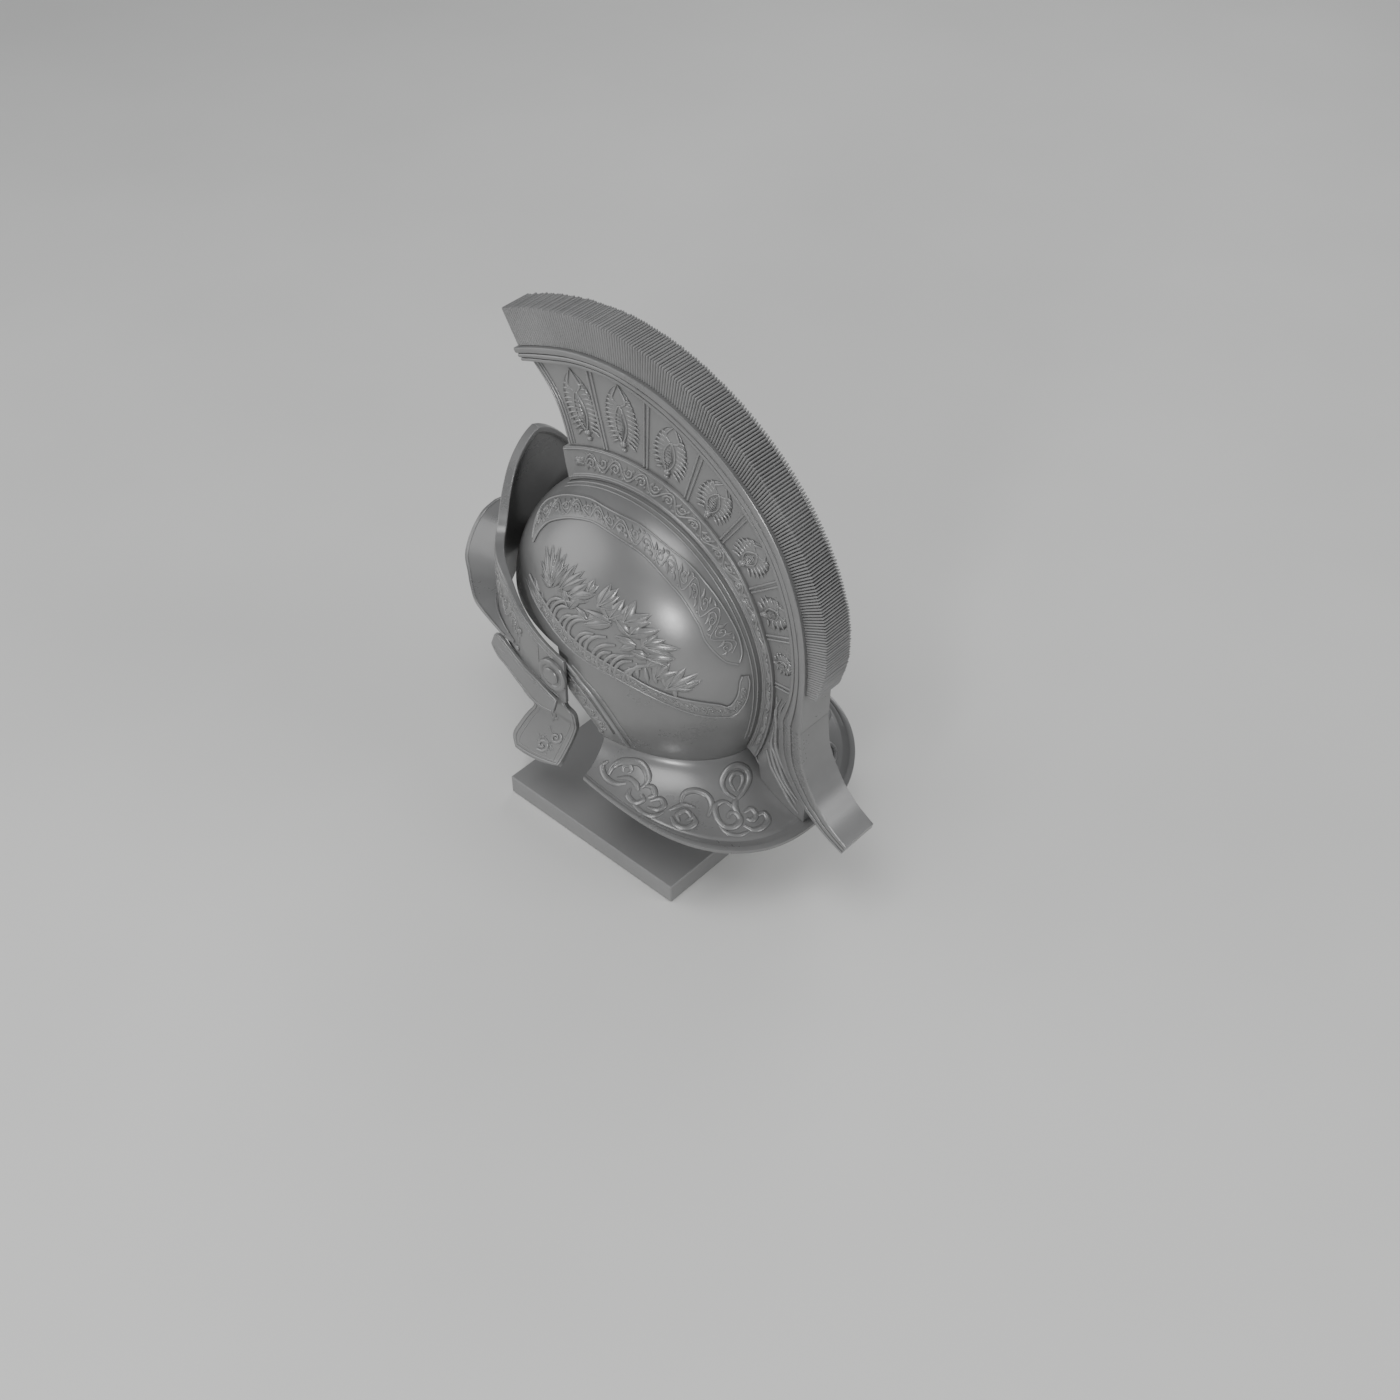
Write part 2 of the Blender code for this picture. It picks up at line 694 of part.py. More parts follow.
def neck_top(share):
    taper_back = crease_plan(90)[1] - BOWL_Y
    start = math.degrees(math.asin(NECK_START / taper_back))
    x, y = crease_plan(start + (90 - start) * share)
    return Vector((x, y, crease_height() - GAP))


def neck_point(share, v):
    """A point on the guard's upper face from the crease (0) to the rim (1)."""
    top, rim = neck_top(share), neck_rim(share)
    out, fall = v ** 1.5, 1 - (1 - v) ** 1.5
    return Vector((top.x + (rim.x - top.x) * out, top.y + (rim.y - top.y) * out,
                   top.z + (rim.z - top.z) * fall))


def neck_normal(share, v):
    step = 0.01
    along = neck_point(min(share + step, 1.0), v) - neck_point(max(share - step, 0.0), v)
    across = neck_point(share, min(v + step, 1.0)) - neck_point(share, max(v - step, 0.0))
    return across.cross(along).normalized()


def neck_ring(share, sign):
    """Section of the neck guard, from the crease out to the beaded rim and back underneath."""
    over = [neck_point(share, v) + neck_normal(share, v) * rise * MM for v, rise in NECK_ROWS]
    under = [neck_point(share, v) - neck_normal(share, v) * NECK_WALL for v, rise in NECK_ROWS if rise == 0.0]
    edge = neck_point(share, 1.0) - neck_normal(share, 1.0) * NECK_WALL
    return [Vector((sign * p.x, p.y, p.z)) for p in over + [edge] + under[::-1]]


def build_neck_guard(group, mat):
    shares = [i / NECK_STEPS for i in range(NECK_STEPS + 1)]
    rings = [neck_ring(s, 1) for s in shares] + [neck_ring(s, -1) for s in reversed(shares[:-1])]
    return mesh_object(loft(rings), "neck_guard", group, mat)


# Brow plate, peak and flanges

def front_rim_height():
    return bowl_centre().z + BROW_RISE


def brow_plan(share, rise=0.0, clear=0.0):
    """(x, y) off the brow plate's outer face and the outward way, from its middle (0) to its rear end (1)."""
    lean = BROW_LEAN * rise / BROW_HEIGHT
    front = BROW_Y - BOWL_Y + BOWL_FRONT + GAP + BROW_WALL - lean
    power = 2 / BROW_SQUARENESS
    a = math.radians(90) * share
    c, s = max(math.cos(a), 0.0), math.sin(a)
    here = Vector((BROW_HALF_WIDTH * s ** power, BROW_Y - front * c ** power))
    steep = BROW_SQUARENESS - 1
    out = Vector(((s ** power) ** steep / BROW_HALF_WIDTH, -(c ** power) ** steep / front)).normalized()
    return here + out * clear, out


def brow_share_at(y):
    """The share along the brow plate whose lower edge lies at a given y."""
    front = BROW_Y - BOWL_Y + BOWL_FRONT + GAP + BROW_WALL
    depth = min(max((BROW_Y - y) / front, 0.0), 1.0)
    return math.degrees(math.acos(depth ** (BROW_SQUARENESS / 2))) / 90


def brow_ring(share, sign):
    """Section of the brow plate with its thick upper rim."""
    rim_z = front_rim_height()
    top = BROW_HEIGHT * BROW.at("top", share)
    low = -BROW_SKIRT * BROW.at("skirt", share)
    rim = max(BROW_RIM * BROW.at("rim", share), BROW_WALL)
    step = top - BROW_RIM_DEPTH
    section = ((low, 0), (step, 0), (top, 0), (top, rim), (step, rim),
               (step - rim / 3, BROW_WALL), (low, BROW_WALL))
    ring = []
    for rise, inset in section:
        place, _ = brow_plan(share, rise, -inset)
        ring.append(Vector((sign * place.x, place.y, rim_z + rise)))
    return ring


def build_brow_plate(group, mat):
    rings = [brow_ring(s, -1) for s in reversed(BROW_STOPS[1:])] + [brow_ring(s, 1) for s in BROW_STOPS]
    return mesh_object(loft(rings), "brow_plate", group, mat)


def peak_ring(share, sign):
    """Section of the peak: upper face from the brow plate out to the rim, and its wall below."""
    rim_z = bowl_centre().z + PEAK_RISE - PEAK_SAG * PEAK.at("sag", share)
    reach = PEAK.at("reach", share)
    ring = []
    for out, drop in ((0.0, 0.0), (0.5, 0.0), (1.0, 0.0), (1.0, 1.0), (0.5, 1.0), (0.0, 1.0)):
        height = rim_z + PEAK_SLOPE * math.sqrt(reach) * (1 - out)
        place, _ = brow_plan(share, height - front_rim_height(), GAP + PEAK_REACH * reach * out)
        ring.append(Vector((sign * place.x, place.y, height - PEAK_WALL * drop)))
    return ring


def build_peak(group, mat):
    stops = [s for s in BROW_STOPS if s < PEAK.rows[-1, 0]]
    rings = [peak_ring(s, -1) for s in reversed(stops[1:])] + [peak_ring(s, 1) for s in stops]
    return mesh_object(loft(rings), "peak", group, mat)


def flange_section(share):
    """The flange's outer upper and lower corner and its inner ones, at a share from its tip."""
    y = BROW_Y - FLANGE_FRONT + FLANGE_LENGTH * share
    place, _ = brow_plan(brow_share_at(y))
    inner = place.x + GAP + FLANGE_STAND * FLANGE.at("stand", share)
    top = bowl_centre().z - FLANGE_DROP * FLANGE.at("drop", share)
    low = top - FLANGE_HEIGHT * FLANGE.at("height", share)
    return (Vector((inner, y, top)), Vector((inner + FLANGE_WALL, y, top)),
            Vector((inner + FLANGE_WALL + FLANGE_FLARE, y, low)), Vector((inner + FLANGE_FLARE, y, low)))


def hinge_place():
    return Vector((HINGE_X, HINGE_Y, bowl_centre().z - HINGE_DROP))


def lug(y, name, group):
    """A plate from the flange's inner face round the hinge pin."""
    share = (y - (BROW_Y - FLANGE_FRONT)) / FLANGE_LENGTH
    top_in, top_out, low_out, low_in = flange_section(share)
    axis = hinge_place()
    def on_flange(z):
        t = (top_in.z - z) / (top_in.z - low_in.z)
        return top_in.x + (low_in.x - top_in.x) * t + FLANGE_WALL / 2
    arc = [(axis.x - KNUCKLE_RADIUS * math.sin(a), axis.z + KNUCKLE_RADIUS * math.cos(a))
           for a in (math.pi * i / 8 for i in range(9))]
    high = axis.z + KNUCKLE_RADIUS
    low = axis.z
    outline = arc + [(on_flange(low), low), (on_flange(high), high)]
    rings = [[Vector((x, y + end * LUG_LENGTH / 2, z)) for x, z in outline] for end in (-1, 1)]
    return guide(mesh_object(loft(rings), name, group))


def rod(radius, length, at, name, group, mat=None):
    """A round bar along Y, centred at a place."""
    bm = bmesh.new()
    bmesh.ops.create_cone(bm, cap_ends=True, segments=HINGE_SIDES,
                          radius1=radius, radius2=radius, depth=length)
    turn = Matrix.Translation(at) @ Matrix.Rotation(math.radians(90), 4, "X")
    bmesh.ops.transform(bm, matrix=turn, verts=bm.verts)
    return mesh_object(bm, name, group, mat)


def lug_offset():
    return KNUCKLE_LENGTH / 2 + HINGE_SIDE_GAP + LUG_LENGTH / 2


def build_ear_flange(group, cutters, mat):
    stops = (0.0, 0.06, 0.14, 0.25, 0.35, 0.45, 0.55, 0.65, 0.75, 0.85, 0.93, 1.0)
    left = mesh_object(loft([flange_section(s) for s in stops]), "ear_flange_left", group, mat)
    lugs = bpy.data.collections.new("hinge_lugs_left")
    cutters.children.link(lugs)
    for end in (-1, 1):
        lug(HINGE_Y + end * lug_offset(), f"lug_left_{end + 1}", lugs)
    boolean(left, lugs, "UNION")
    hole = guide(rod(PIN_RADIUS + GAP, 4 * lug_offset(), hinge_place(), "pin_hole_left", cutters))
    boolean(left, hole, "DIFFERENCE")
    return left


# Cheek guards and their hinges

def cheek_rows():
    """Outer face from the hinge down to the wing's rim, each row from the front edge to the rear edge."""
    axis = hinge_place()
    half = KNUCKLE_LENGTH / 2
    shoulder = KNUCKLE_RADIUS + CHEEK_SHOULDER
    front, rear = CHEEK[0][0] * CHEEK_LENGTH * 0.92, CHEEK[0][2] * CHEEK_LENGTH * 0.86
    top = PIN_RADIUS + GAP + CHEEK_TOP
    bend = shoulder - CHEEK_CORNER
    bands = [(half, top, half, top, 0.0),
             (half, bend, half, bend, 0.0),
             (front, shoulder, rear, shoulder, 0.0)]
    bands += [(f * CHEEK_LENGTH, fd * CHEEK_DROP, r * CHEEK_LENGTH, rd * CHEEK_DROP, flare * CHEEK_FLARE)
              for f, fd, r, rd, flare in CHEEK]
    rows = []
    steps = CHEEK_COLUMNS
    for f, fd, r, rd, flare in bands:
        row = []
        for i in range(steps + 1):
            t = i / steps
            y = axis.y - f + (f + r) * t
            ahead = max((axis.y - half - y) / (CHEEK_LENGTH / 2), 0.0)
            drop = fd + (rd - fd) * t + 4 * t * (1 - t) * max(flare, 0.0) * 0.35
            x = axis.x + CHEEK_OUT + flare - CHEEK_CURL * ahead ** 2
            row.append(Vector((x, y, axis.z - drop)))
        rows.append(row)
    return rows


def build_cheek_guard(group, cutters, mat):
    """The left guard with its knuckle, modelled round its hinge axis."""
    axis = hinge_place()
    rows = cheek_rows()
    outer = [[p - axis for p in row] for row in rows]
    obj = mesh_object(sheet(outer), "cheek_guard_left", group, mat)
    obj.location = axis
    inwards = -1.0 if obj.data.polygons[0].normal.x > 0 else 1.0
    solidify(obj, CHEEK_WALL, inwards)
    knuckle = guide(rod(KNUCKLE_RADIUS, KNUCKLE_LENGTH, axis, "knuckle_left", cutters))
    boolean(obj, knuckle, "UNION")
    bore = guide(rod(PIN_RADIUS + GAP, KNUCKLE_LENGTH * 2, axis, "knuckle_bore_left", cutters))
    boolean(obj, bore, "DIFFERENCE")
    return obj


def build_hinge_pin(group, mat):
    length = 2 * lug_offset() + LUG_LENGTH
    obj = rod(PIN_RADIUS, length, Vector((0, 0, 0)), "hinge_pin_left", group, mat)
    obj.location = hinge_place()
    return obj


# Rosettes and rivets

def turned(profile, name, group, mat, sides):
    """A turned piece round its own Z axis from a profile of (radius, height), top to bottom."""
    bm = bmesh.new()
    verts = [bm.verts.new((r, 0, z)) for r, z in profile]
    for one, two in zip(verts, verts[1:]):
        bm.edges.new((one, two))
    mesh = bpy.data.meshes.new(name)
    bm.to_mesh(mesh)
    bm.free()
    mesh.materials.append(mat)
    obj = bpy.data.objects.new(name, mesh)
    group.objects.link(obj)
    turn = obj.modifiers.new("Turn", "SCREW")
    turn.steps = sides
    turn.render_steps = sides
    turn.use_merge_vertices = True
    turn.merge_threshold = 0.00005
    turn.use_smooth_shade = True
    return obj


def face_out(obj, at, out):
    obj.location = at
    obj.rotation_mode = "QUATERNION"
    obj.rotation_quaternion = out.to_track_quat("Z", "Y")
    return obj


def build_rosette(group, mat, side):
    """Two stepped discs on the end of the brow plate."""
    half = ROSETTE_THICKNESS / 2
    profile = ((0.0, ROSETTE_THICKNESS), (ROSETTE_BOSS * 0.8, ROSETTE_THICKNESS * 0.97),
               (ROSETTE_BOSS, ROSETTE_THICKNESS * 0.8), (ROSETTE_BOSS, half), (ROSETTE_RADIUS * 0.7, half),
               (ROSETTE_RADIUS * 0.76, half * 1.3), (ROSETTE_RADIUS, half * 1.1),
               (ROSETTE_RADIUS, 0.0), (0.0, 0.0))
    name = "rosette_left" if side > 0 else "rosette_right"
    obj = turned(profile, name, group, mat, ROSETTE_SIDES)
    place, _ = brow_plan(brow_share_at(ROSETTE_Y), 0.0, GAP)
    at = Vector((side * place.x, ROSETTE_Y, bowl_centre().z - ROSETTE_DROP))
    return face_out(obj, at, Vector((side, 0, 0)))


def rivet_places():
    """Rivets on the left: two on the brow plate and one on the band behind the ear."""
    places = []
    for y, drop in RIVETS:
        share = brow_share_at(y * MM)
        z = bowl_centre().z - drop * MM
        place, out = brow_plan(share, z - front_rim_height(), GAP)
        places.append((Vector((place.x, place.y, z)), Vector((out.x, out.y, 0))))
    lift = -math.degrees(math.asin((BOWL_DEPTH - EAR_RIVET_LIFT) / BOWL_TAPER))
    point, normal = bowl_place(EAR_RIVET_SIDE, lift, out=GAP - EAR_RIVET_SINK)
    places.append((point, normal))
    return places


def build_rivets(group, mat):
    profile = [(RIVET_RADIUS * math.sin(a), RIVET_RISE * math.cos(a)) for a in (0.0, 0.8, math.pi / 2)]
    profile[0] = (0.0, RIVET_RISE)
    profile.append((0.0, 0.0))
    for i, (at, out) in enumerate(rivet_places(), start=1):
        for side, word in ((1, "left"), (-1, "right")):
            obj = turned(profile, f"rivet_{word}_{i}", group, mat, RIVET_SIDES)
            face_out(obj, Vector((side * at.x, at.y, at.z)), Vector((side * out.x, out.y, out.z)))


# Crest

def band_edge(angle, bands):
    """Radius of the outer edge of the named bands, stacked on the bowl's ridge with gaps."""
    depth = {"frieze": FRIEZE_DEPTH, "web": WEB_DEPTH, "rail": RAIL_DEPTH, "brush": BRUSH_DEPTH}
    return ridge_radius(angle) + sum(GAP + depth[band] * CREST.at(band, angle) for band in bands)


def tail_place(step):
    """The rail's under edge along the tail, from the crest's lower end (0) to the tip (4)."""
    y0, z0 = polar(RAIL_BACK_ANGLE, band_edge(RAIL_BACK_ANGLE, ("frieze", "web")) + GAP)
    rim = neck_rim(1.0)
    y1, z1 = rim.y + TAIL_OVERHANG, rim.z + TAIL_LIFT
    return Vector((y0 + (y1 - y0) * TAIL.at("run", step), z0 - (z0 - z1) * TAIL.at("fall", step)))


def tail_way(step):
    return (tail_place(min(step + 0.05, 4.0)) - tail_place(max(step - 0.05, 0.0))).normalized()


def rail_stations(crest_count=20, tail_count=10):
    """The rail's under edge, its outward way, its depth and how far along the tail it lies (0 to 1)."""
    stations = []
    for i in range(crest_count + 1):
        angle = RAIL_FRONT_ANGLE + (RAIL_BACK_ANGLE - RAIL_FRONT_ANGLE) * i / crest_count
        a = math.radians(angle)
        under = Vector(polar(angle, band_edge(angle, ("frieze", "web")) + GAP))
        out = Vector((-math.cos(a), math.sin(a)))
        stations.append((under, out, RAIL_DEPTH * CREST.at("rail", angle), 0.0))
    for i in range(1, tail_count + 1):
        step = 4.0 * i / tail_count
        way = tail_way(step)
        out = Vector((-way.y, way.x))
        stations.append((tail_place(step), out, RAIL_DEPTH * TAIL.at("depth", step), step / 4))
    return stations


def build_crest_rail(group, mat):
    rings = []
    for under, out, depth, tail in rail_stations():
        half = []
        for crest_width, tip_width, rise in RAIL_SECTION:
            x = RAIL_HALF_WIDTH * (crest_width + (tip_width - crest_width) * tail ** 2)
            place = under + out * (depth * rise)
            half.append(Vector((x, place.x, place.y)))
        rings.append(half + [Vector((-p.x, p.y, p.z)) for p in reversed(half)])
    return mesh_object(loft(rings), "crest_rail", group, mat)


def build_crest_brush(group, mat):
    """A block of strips that cross the crest, notched between each strip and the next."""
    count = 2 * BRUSH_STRIP_COUNT
    rings = []
    for i in range(count + 1):
        angle = RAIL_FRONT_ANGLE + 0.5 + (BRUSH_BACK_ANGLE - RAIL_FRONT_ANGLE - 0.5) * i / count
        notch = BRUSH_NOTCH * (i % 2)
        low = band_edge(angle, ("frieze", "web")) + GAP + RAIL_DEPTH * CREST.at("rail", angle) + GAP
        high = low + BRUSH_DEPTH * CREST.at("brush", angle) - notch
        half = BRUSH_HALF_WIDTH - notch
        ring = []
        for x, radius in ((-half, low), (half, low), (half, high), (-half, high)):
            y, z = polar(angle, radius)
            ring.append(Vector((x, y, z)))
        rings.append(ring)
    return mesh_object(loft(rings), "crest_brush", group, mat, smooth=20)


def frieze_angles():
    """Angles of the frieze's outer edge, from its front end to its rear end."""
    panel = list(np.linspace(FRIEZE_PANEL, 1 - FRIEZE_PANEL, FRIEZE_STOPS))
    shares = [0.0, FRIEZE_END] + panel + [1 - FRIEZE_END, 1.0]
    start = FRIEZE_FRONT_ANGLE + FRIEZE_LEAN
    return [start + (FRIEZE_BACK_ANGLE - start) * s for s in shares]


def frieze_ring(high_angle, sink):
    """Section of the frieze: a box strip whose two sides are sunk between raised edges."""
    high_start = FRIEZE_FRONT_ANGLE + FRIEZE_LEAN
    low_start = FRIEZE_FRONT_ANGLE - FRIEZE_TOE
    share = (high_angle - high_start) / (FRIEZE_BACK_ANGLE - high_start)
    low_angle = low_start + (FRIEZE_BACK_ANGLE - low_start) * share
    low = ridge_radius(low_angle) + FRIEZE_GAP
    depth = band_edge(high_angle, ("frieze",)) - low
    edge = FRIEZE_FRAME / depth
    w, s = FRIEZE_HALF_WIDTH, FRIEZE_HALF_WIDTH - sink
    half = ((w, edge), (s, edge * 1.25), (s, 1 - edge * 1.25), (w, 1 - edge), (w, 1.0))
    section = []
    for x in (-w, -w / 2, 0.0, w / 2, w):
        sag = ridge_radius(low_angle) * (1 - math.sqrt(1 - (x / BOWL_HALF_WIDTH) ** 2))
        section.append((x, -sag / depth))
    section += list(half) + [(-x, t) for x, t in reversed(half)]
    ring = []
    for x, t in section:
        angle = low_angle + (high_angle - low_angle) * t
        y, z = polar(angle, low + depth * t)
        ring.append(Vector((x, y, z)))
    return ring


def build_crest_frieze(group, mat):
    angles = frieze_angles()
    inside = range(2, len(angles) - 2)
    rings = [frieze_ring(a, FRIEZE_SINK if i in inside else 0.0) for i, a in enumerate(angles)]
    return mesh_object(loft(rings), "crest_frieze", group, mat)


def neck_line():
    """(y, z) along the neck guard's upper face in the middle plane, from the crease to the rim."""
    return [neck_point(1.0, v).yz for v, _ in NECK_ROWS]


def neck_surface(y):
    """Height of the neck guard's upper face in the middle plane."""
    return float(np.interp(y, [p.x for p in neck_line()], [p.y for p in neck_line()]))


def web_front(share):
    """The web's curved front edge, from the frieze (0) to the rail (1)."""
    angle = WEB_FRONT_ANGLE + 2.2 * math.sin(math.pi * share)
    low = band_edge(angle, ("frieze",)) + GAP
    high = band_edge(angle, ("frieze", "web"))
    return angle, Vector(polar(angle, low + (high - low) * share))


def web_outline():
    """Side view of the web: up the front, back under the rail, down the tail, then along the bowl."""
    stop = neck_rim(1.0).y - WEB_STOP
    outline = [web_front(i / 6)[1] for i in range(7)]
    for under, out, _, _ in rail_stations():
        place = under - out * GAP
        angle = math.degrees(math.atan2(place.y - bowl_centre().z, BOWL_Y - place.x)) % 360
        if angle > WEB_FRONT_ANGLE + 1 and place.x < stop - WEB_CORNER:
            outline.append(place)
    outline.append(Vector((stop, tail_under(stop) - GAP * 1.2)))
    angles = [a for a in frieze_angles() if a > WEB_FRONT_ANGLE + 0.4]
    neck_front = polar(angles[-1], band_edge(angles[-1], ("frieze",)) + GAP)[0]
    for y in [stop] + [p.x for p in reversed(neck_line()) if neck_front < p.x < stop]:
        outline.append(Vector((y, neck_surface(y) + GAP)))
    outline += [Vector(polar(a, band_edge(a, ("frieze",)) + GAP)) for a in reversed(angles)]
    return outline


def tail_under(y):
    """Height of the tail's under edge at a place behind."""
    steps = np.linspace(0.0, 4.0, 81)
    places = [tail_place(s) for s in steps]
    return float(np.interp(y, [p.x for p in places], [p.y for p in places]))


def ribbon(points, width, half_thickness, name, group):
    """A rib of even width along points of the side view, thick across the middle plane."""
    rings = []
    for i, point in enumerate(points):
        way = (points[min(i + 1, len(points) - 1)] - points[max(i - 1, 0)]).normalized()
        side = Vector((-way.y, way.x)) * width / 2
        low, high = point - side, point + side
        rings.append([Vector((-half_thickness, low.x, low.y)), Vector((half_thickness, low.x, low.y)),
                      Vector((half_thickness, high.x, high.y)), Vector((-half_thickness, high.x, high.y))])
    return guide(mesh_object(loft(rings), name, group))


def palmette_outline(angle, low, high, half_width):
    """Outline of one palmette standing on a radial line of the web."""
    base, tip = Vector(polar(angle, low)), Vector(polar(angle, high))
    way = tip - base
    side = Vector((-way.y, way.x)).normalized() * half_width
    right = [base + way * length + side * width for length, width in PALMETTE]
    left = [base + way * length - side * width for length, width in reversed(PALMETTE)]
    return [tuple(p) for p in right + left]


def build_crest_web(group, cutters, mat):
    outline = [tuple(p) for p in web_outline()]
    obj = mesh_object(prism(outline, WEB_HALF_WIDTH), "crest_web", group, mat)
    relief = bpy.data.collections.new("web_relief")
    cutters.children.link(relief)
    rib_half = WEB_HALF_WIDTH + RIB_RISE
    for k, angle in enumerate(PANEL_ANGLES[1:]):
        low = band_edge(angle, ("frieze",)) + GAP + RIB_END
        high = band_edge(angle, ("frieze", "web")) - RIB_END
        for side in (-1, 1):
            turn = math.degrees(side * RIB_PITCH / 2 / ((low + high) / 2))
            ends = [Vector(polar(angle + turn, low)), Vector(polar(angle + turn, high))]
            ribbon(ends, RIB_WIDTH, rib_half, f"rib_{k}_{side + 1}", relief)
    for k in range(2):
        inset = RIB_WIDTH * 0.7 + RIB_PITCH * k
        points = []
        for share in (0.04, 0.25, 0.5, 0.75, 0.95):
            angle, place = web_front(share)
            a = math.radians(angle)
            points.append(place + Vector((math.sin(a), math.cos(a))) * inset)
        ribbon(points, RIB_WIDTH, rib_half, f"front_rib_{k}", relief)
    for k, (one, two) in enumerate(zip(PANEL_ANGLES, PANEL_ANGLES[1:])):
        angle = (one + two) / 2 + (1.5 if k == 0 else 0.0)
        low = band_edge(angle, ("frieze",)) + GAP
        high = band_edge(angle, ("frieze", "web"))
        width = min(math.radians(two - one) * (low + high) / 2 * 0.30, (high - low) * 0.42)
        shape = palmette_outline(angle, low + (high - low) * 0.12, low + (high - low) * 0.92, width)
        guide(mesh_object(prism(shape, WEB_HALF_WIDTH + PALMETTE_RISE), f"palmette_{k}", relief))
    add_flame_ribs(relief, rib_half)
    boolean(obj, relief, "UNION")
    return obj


def add_flame_ribs(relief, half):
    """Long ribs that run down beside the tail, inside the web's lower part."""
    stations = rail_stations(48, 27)
    for k in range(FLAME_RIB_COUNT):
        inset = GAP + FLAME_PITCH * (k + 0.75)
        points = []
        for i, (under, out, _, _) in enumerate(stations):
            wave = FLAME_WAVE * math.sin(i * 0.9 + k)
            place = under - out * (inset + wave)
            rise = Vector((place.x - BOWL_Y, place.y - bowl_centre().z))
            angle = math.degrees(math.atan2(rise.y, -rise.x)) % 360
            if angle < PANEL_ANGLES[-1] + 2.5 or place.x > neck_rim(1.0).y - WEB_STOP - FLAME_MARGIN:
                continue
            frieze_edge = band_edge(angle, ("frieze",)) + GAP + FLAME_MARGIN
            inside_bowl = angle < FRIEZE_BACK_ANGLE and rise.length < frieze_edge
            if not inside_bowl and place.y > neck_surface(place.x) + FLAME_MARGIN:
                points.append(place)
        if len(points) > 3:
            ribbon(points[::4], RIB_WIDTH, half, f"flame_{k}", relief)


def mirror_piece(obj, name, group):
    """The finished piece as a plain mesh on the other side of the middle plane."""
    bpy.context.view_layer.update()
    depsgraph = bpy.context.evaluated_depsgraph_get()
    mesh = bpy.data.meshes.new_from_object(obj.evaluated_get(depsgraph))
    mesh.name = name
    mesh.transform(Matrix.Scale(-1, 4, Vector((1, 0, 0))))
    mesh.flip_normals()
    twin = bpy.data.objects.new(name, mesh)
    twin.location = (-obj.location.x, obj.location.y, obj.location.z)
    group.objects.link(twin)
    return twin


def build_all():
    clear_scene()
    group = collection("gladiator_helmet")
    cutters = collection("cutters")
    grey = (0.17, 0.17, 0.17)
    cast = material("helmet_metal", grey, 0.35, 0.25)
    brush = material("brush", grey, 0.6, 0.0)
    base = material("plinth", grey, 0.5, 0.0)

    build_plinth(group, base)
    build_post(group, base)
    build_bowl(group, cutters, cast)
    build_neck_guard(group, cast)
    build_brow_plate(group, cast)
    build_peak(group, cast)
    for make, name in ((build_ear_flange, "ear_flange"), (build_cheek_guard, "cheek_guard")):
        left = make(group, cutters, cast)
        mirror_piece(left, f"{name}_right", group)
    mirror_piece(build_hinge_pin(group, cast), "hinge_pin_right", group)
    for side in (1, -1):
        build_rosette(group, cast, side)
    build_rivets(group, cast)
    build_crest_frieze(group, cast)
    build_crest_web(group, cutters, cast)
    build_crest_rail(group, cast)
    build_crest_brush(group, brush)
    bpy.context.view_layer.update()




if __name__ == "__main__":
    build_all()
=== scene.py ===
"""A gladiator helmet with a crested brush on its display plinth, dressed over its hard frame."""
import json
import math
from functools import partial

import bmesh
import bpy
import numpy as np
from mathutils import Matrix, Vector

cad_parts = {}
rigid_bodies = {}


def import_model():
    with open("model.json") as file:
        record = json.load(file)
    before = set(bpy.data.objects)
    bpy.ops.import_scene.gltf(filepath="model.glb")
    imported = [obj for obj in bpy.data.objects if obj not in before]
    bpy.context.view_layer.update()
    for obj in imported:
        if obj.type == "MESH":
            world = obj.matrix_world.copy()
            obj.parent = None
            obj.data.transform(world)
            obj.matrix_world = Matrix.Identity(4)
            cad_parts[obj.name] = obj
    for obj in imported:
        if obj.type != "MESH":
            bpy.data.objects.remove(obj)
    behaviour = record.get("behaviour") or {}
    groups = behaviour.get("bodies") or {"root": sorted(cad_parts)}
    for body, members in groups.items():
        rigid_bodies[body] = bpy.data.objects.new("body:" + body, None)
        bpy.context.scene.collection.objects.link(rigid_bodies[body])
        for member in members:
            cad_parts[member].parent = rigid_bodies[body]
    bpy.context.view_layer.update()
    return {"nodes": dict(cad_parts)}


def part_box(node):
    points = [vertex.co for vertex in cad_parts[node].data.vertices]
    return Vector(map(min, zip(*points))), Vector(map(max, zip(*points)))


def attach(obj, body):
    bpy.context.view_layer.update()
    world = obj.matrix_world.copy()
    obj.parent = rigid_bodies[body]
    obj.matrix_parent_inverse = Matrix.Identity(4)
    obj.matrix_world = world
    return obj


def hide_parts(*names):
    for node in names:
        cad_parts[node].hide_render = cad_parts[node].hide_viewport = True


bl_info = {
    "name": "Gladiator Helmet",
    "version": (1, 0, 0),
    "blender": (4, 5, 0),
    "location": "3D View > Sidebar > Helmet",
    "description": "Builds a crested gladiator helmet with cast relief, on its plinth",
    "category": "Object",
}

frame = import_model()

MM = 0.001

# Bowl
BOWL_CENTRE = np.array((0.0, -12.0, 217.3)) * MM
BOWL_HALF_WIDTH = 97 * MM
BOWL_FRONT = 145 * MM
BOWL_BACK = 141 * MM
BOWL_RISE = 136 * MM
BOWL_TAPER = 173 * MM
BOWL_WALL = 3 * MM
BOWL_DEPTH = 87 * MM
BROW_RISE = 5 * MM
BAND_RISE = 1.2 * MM

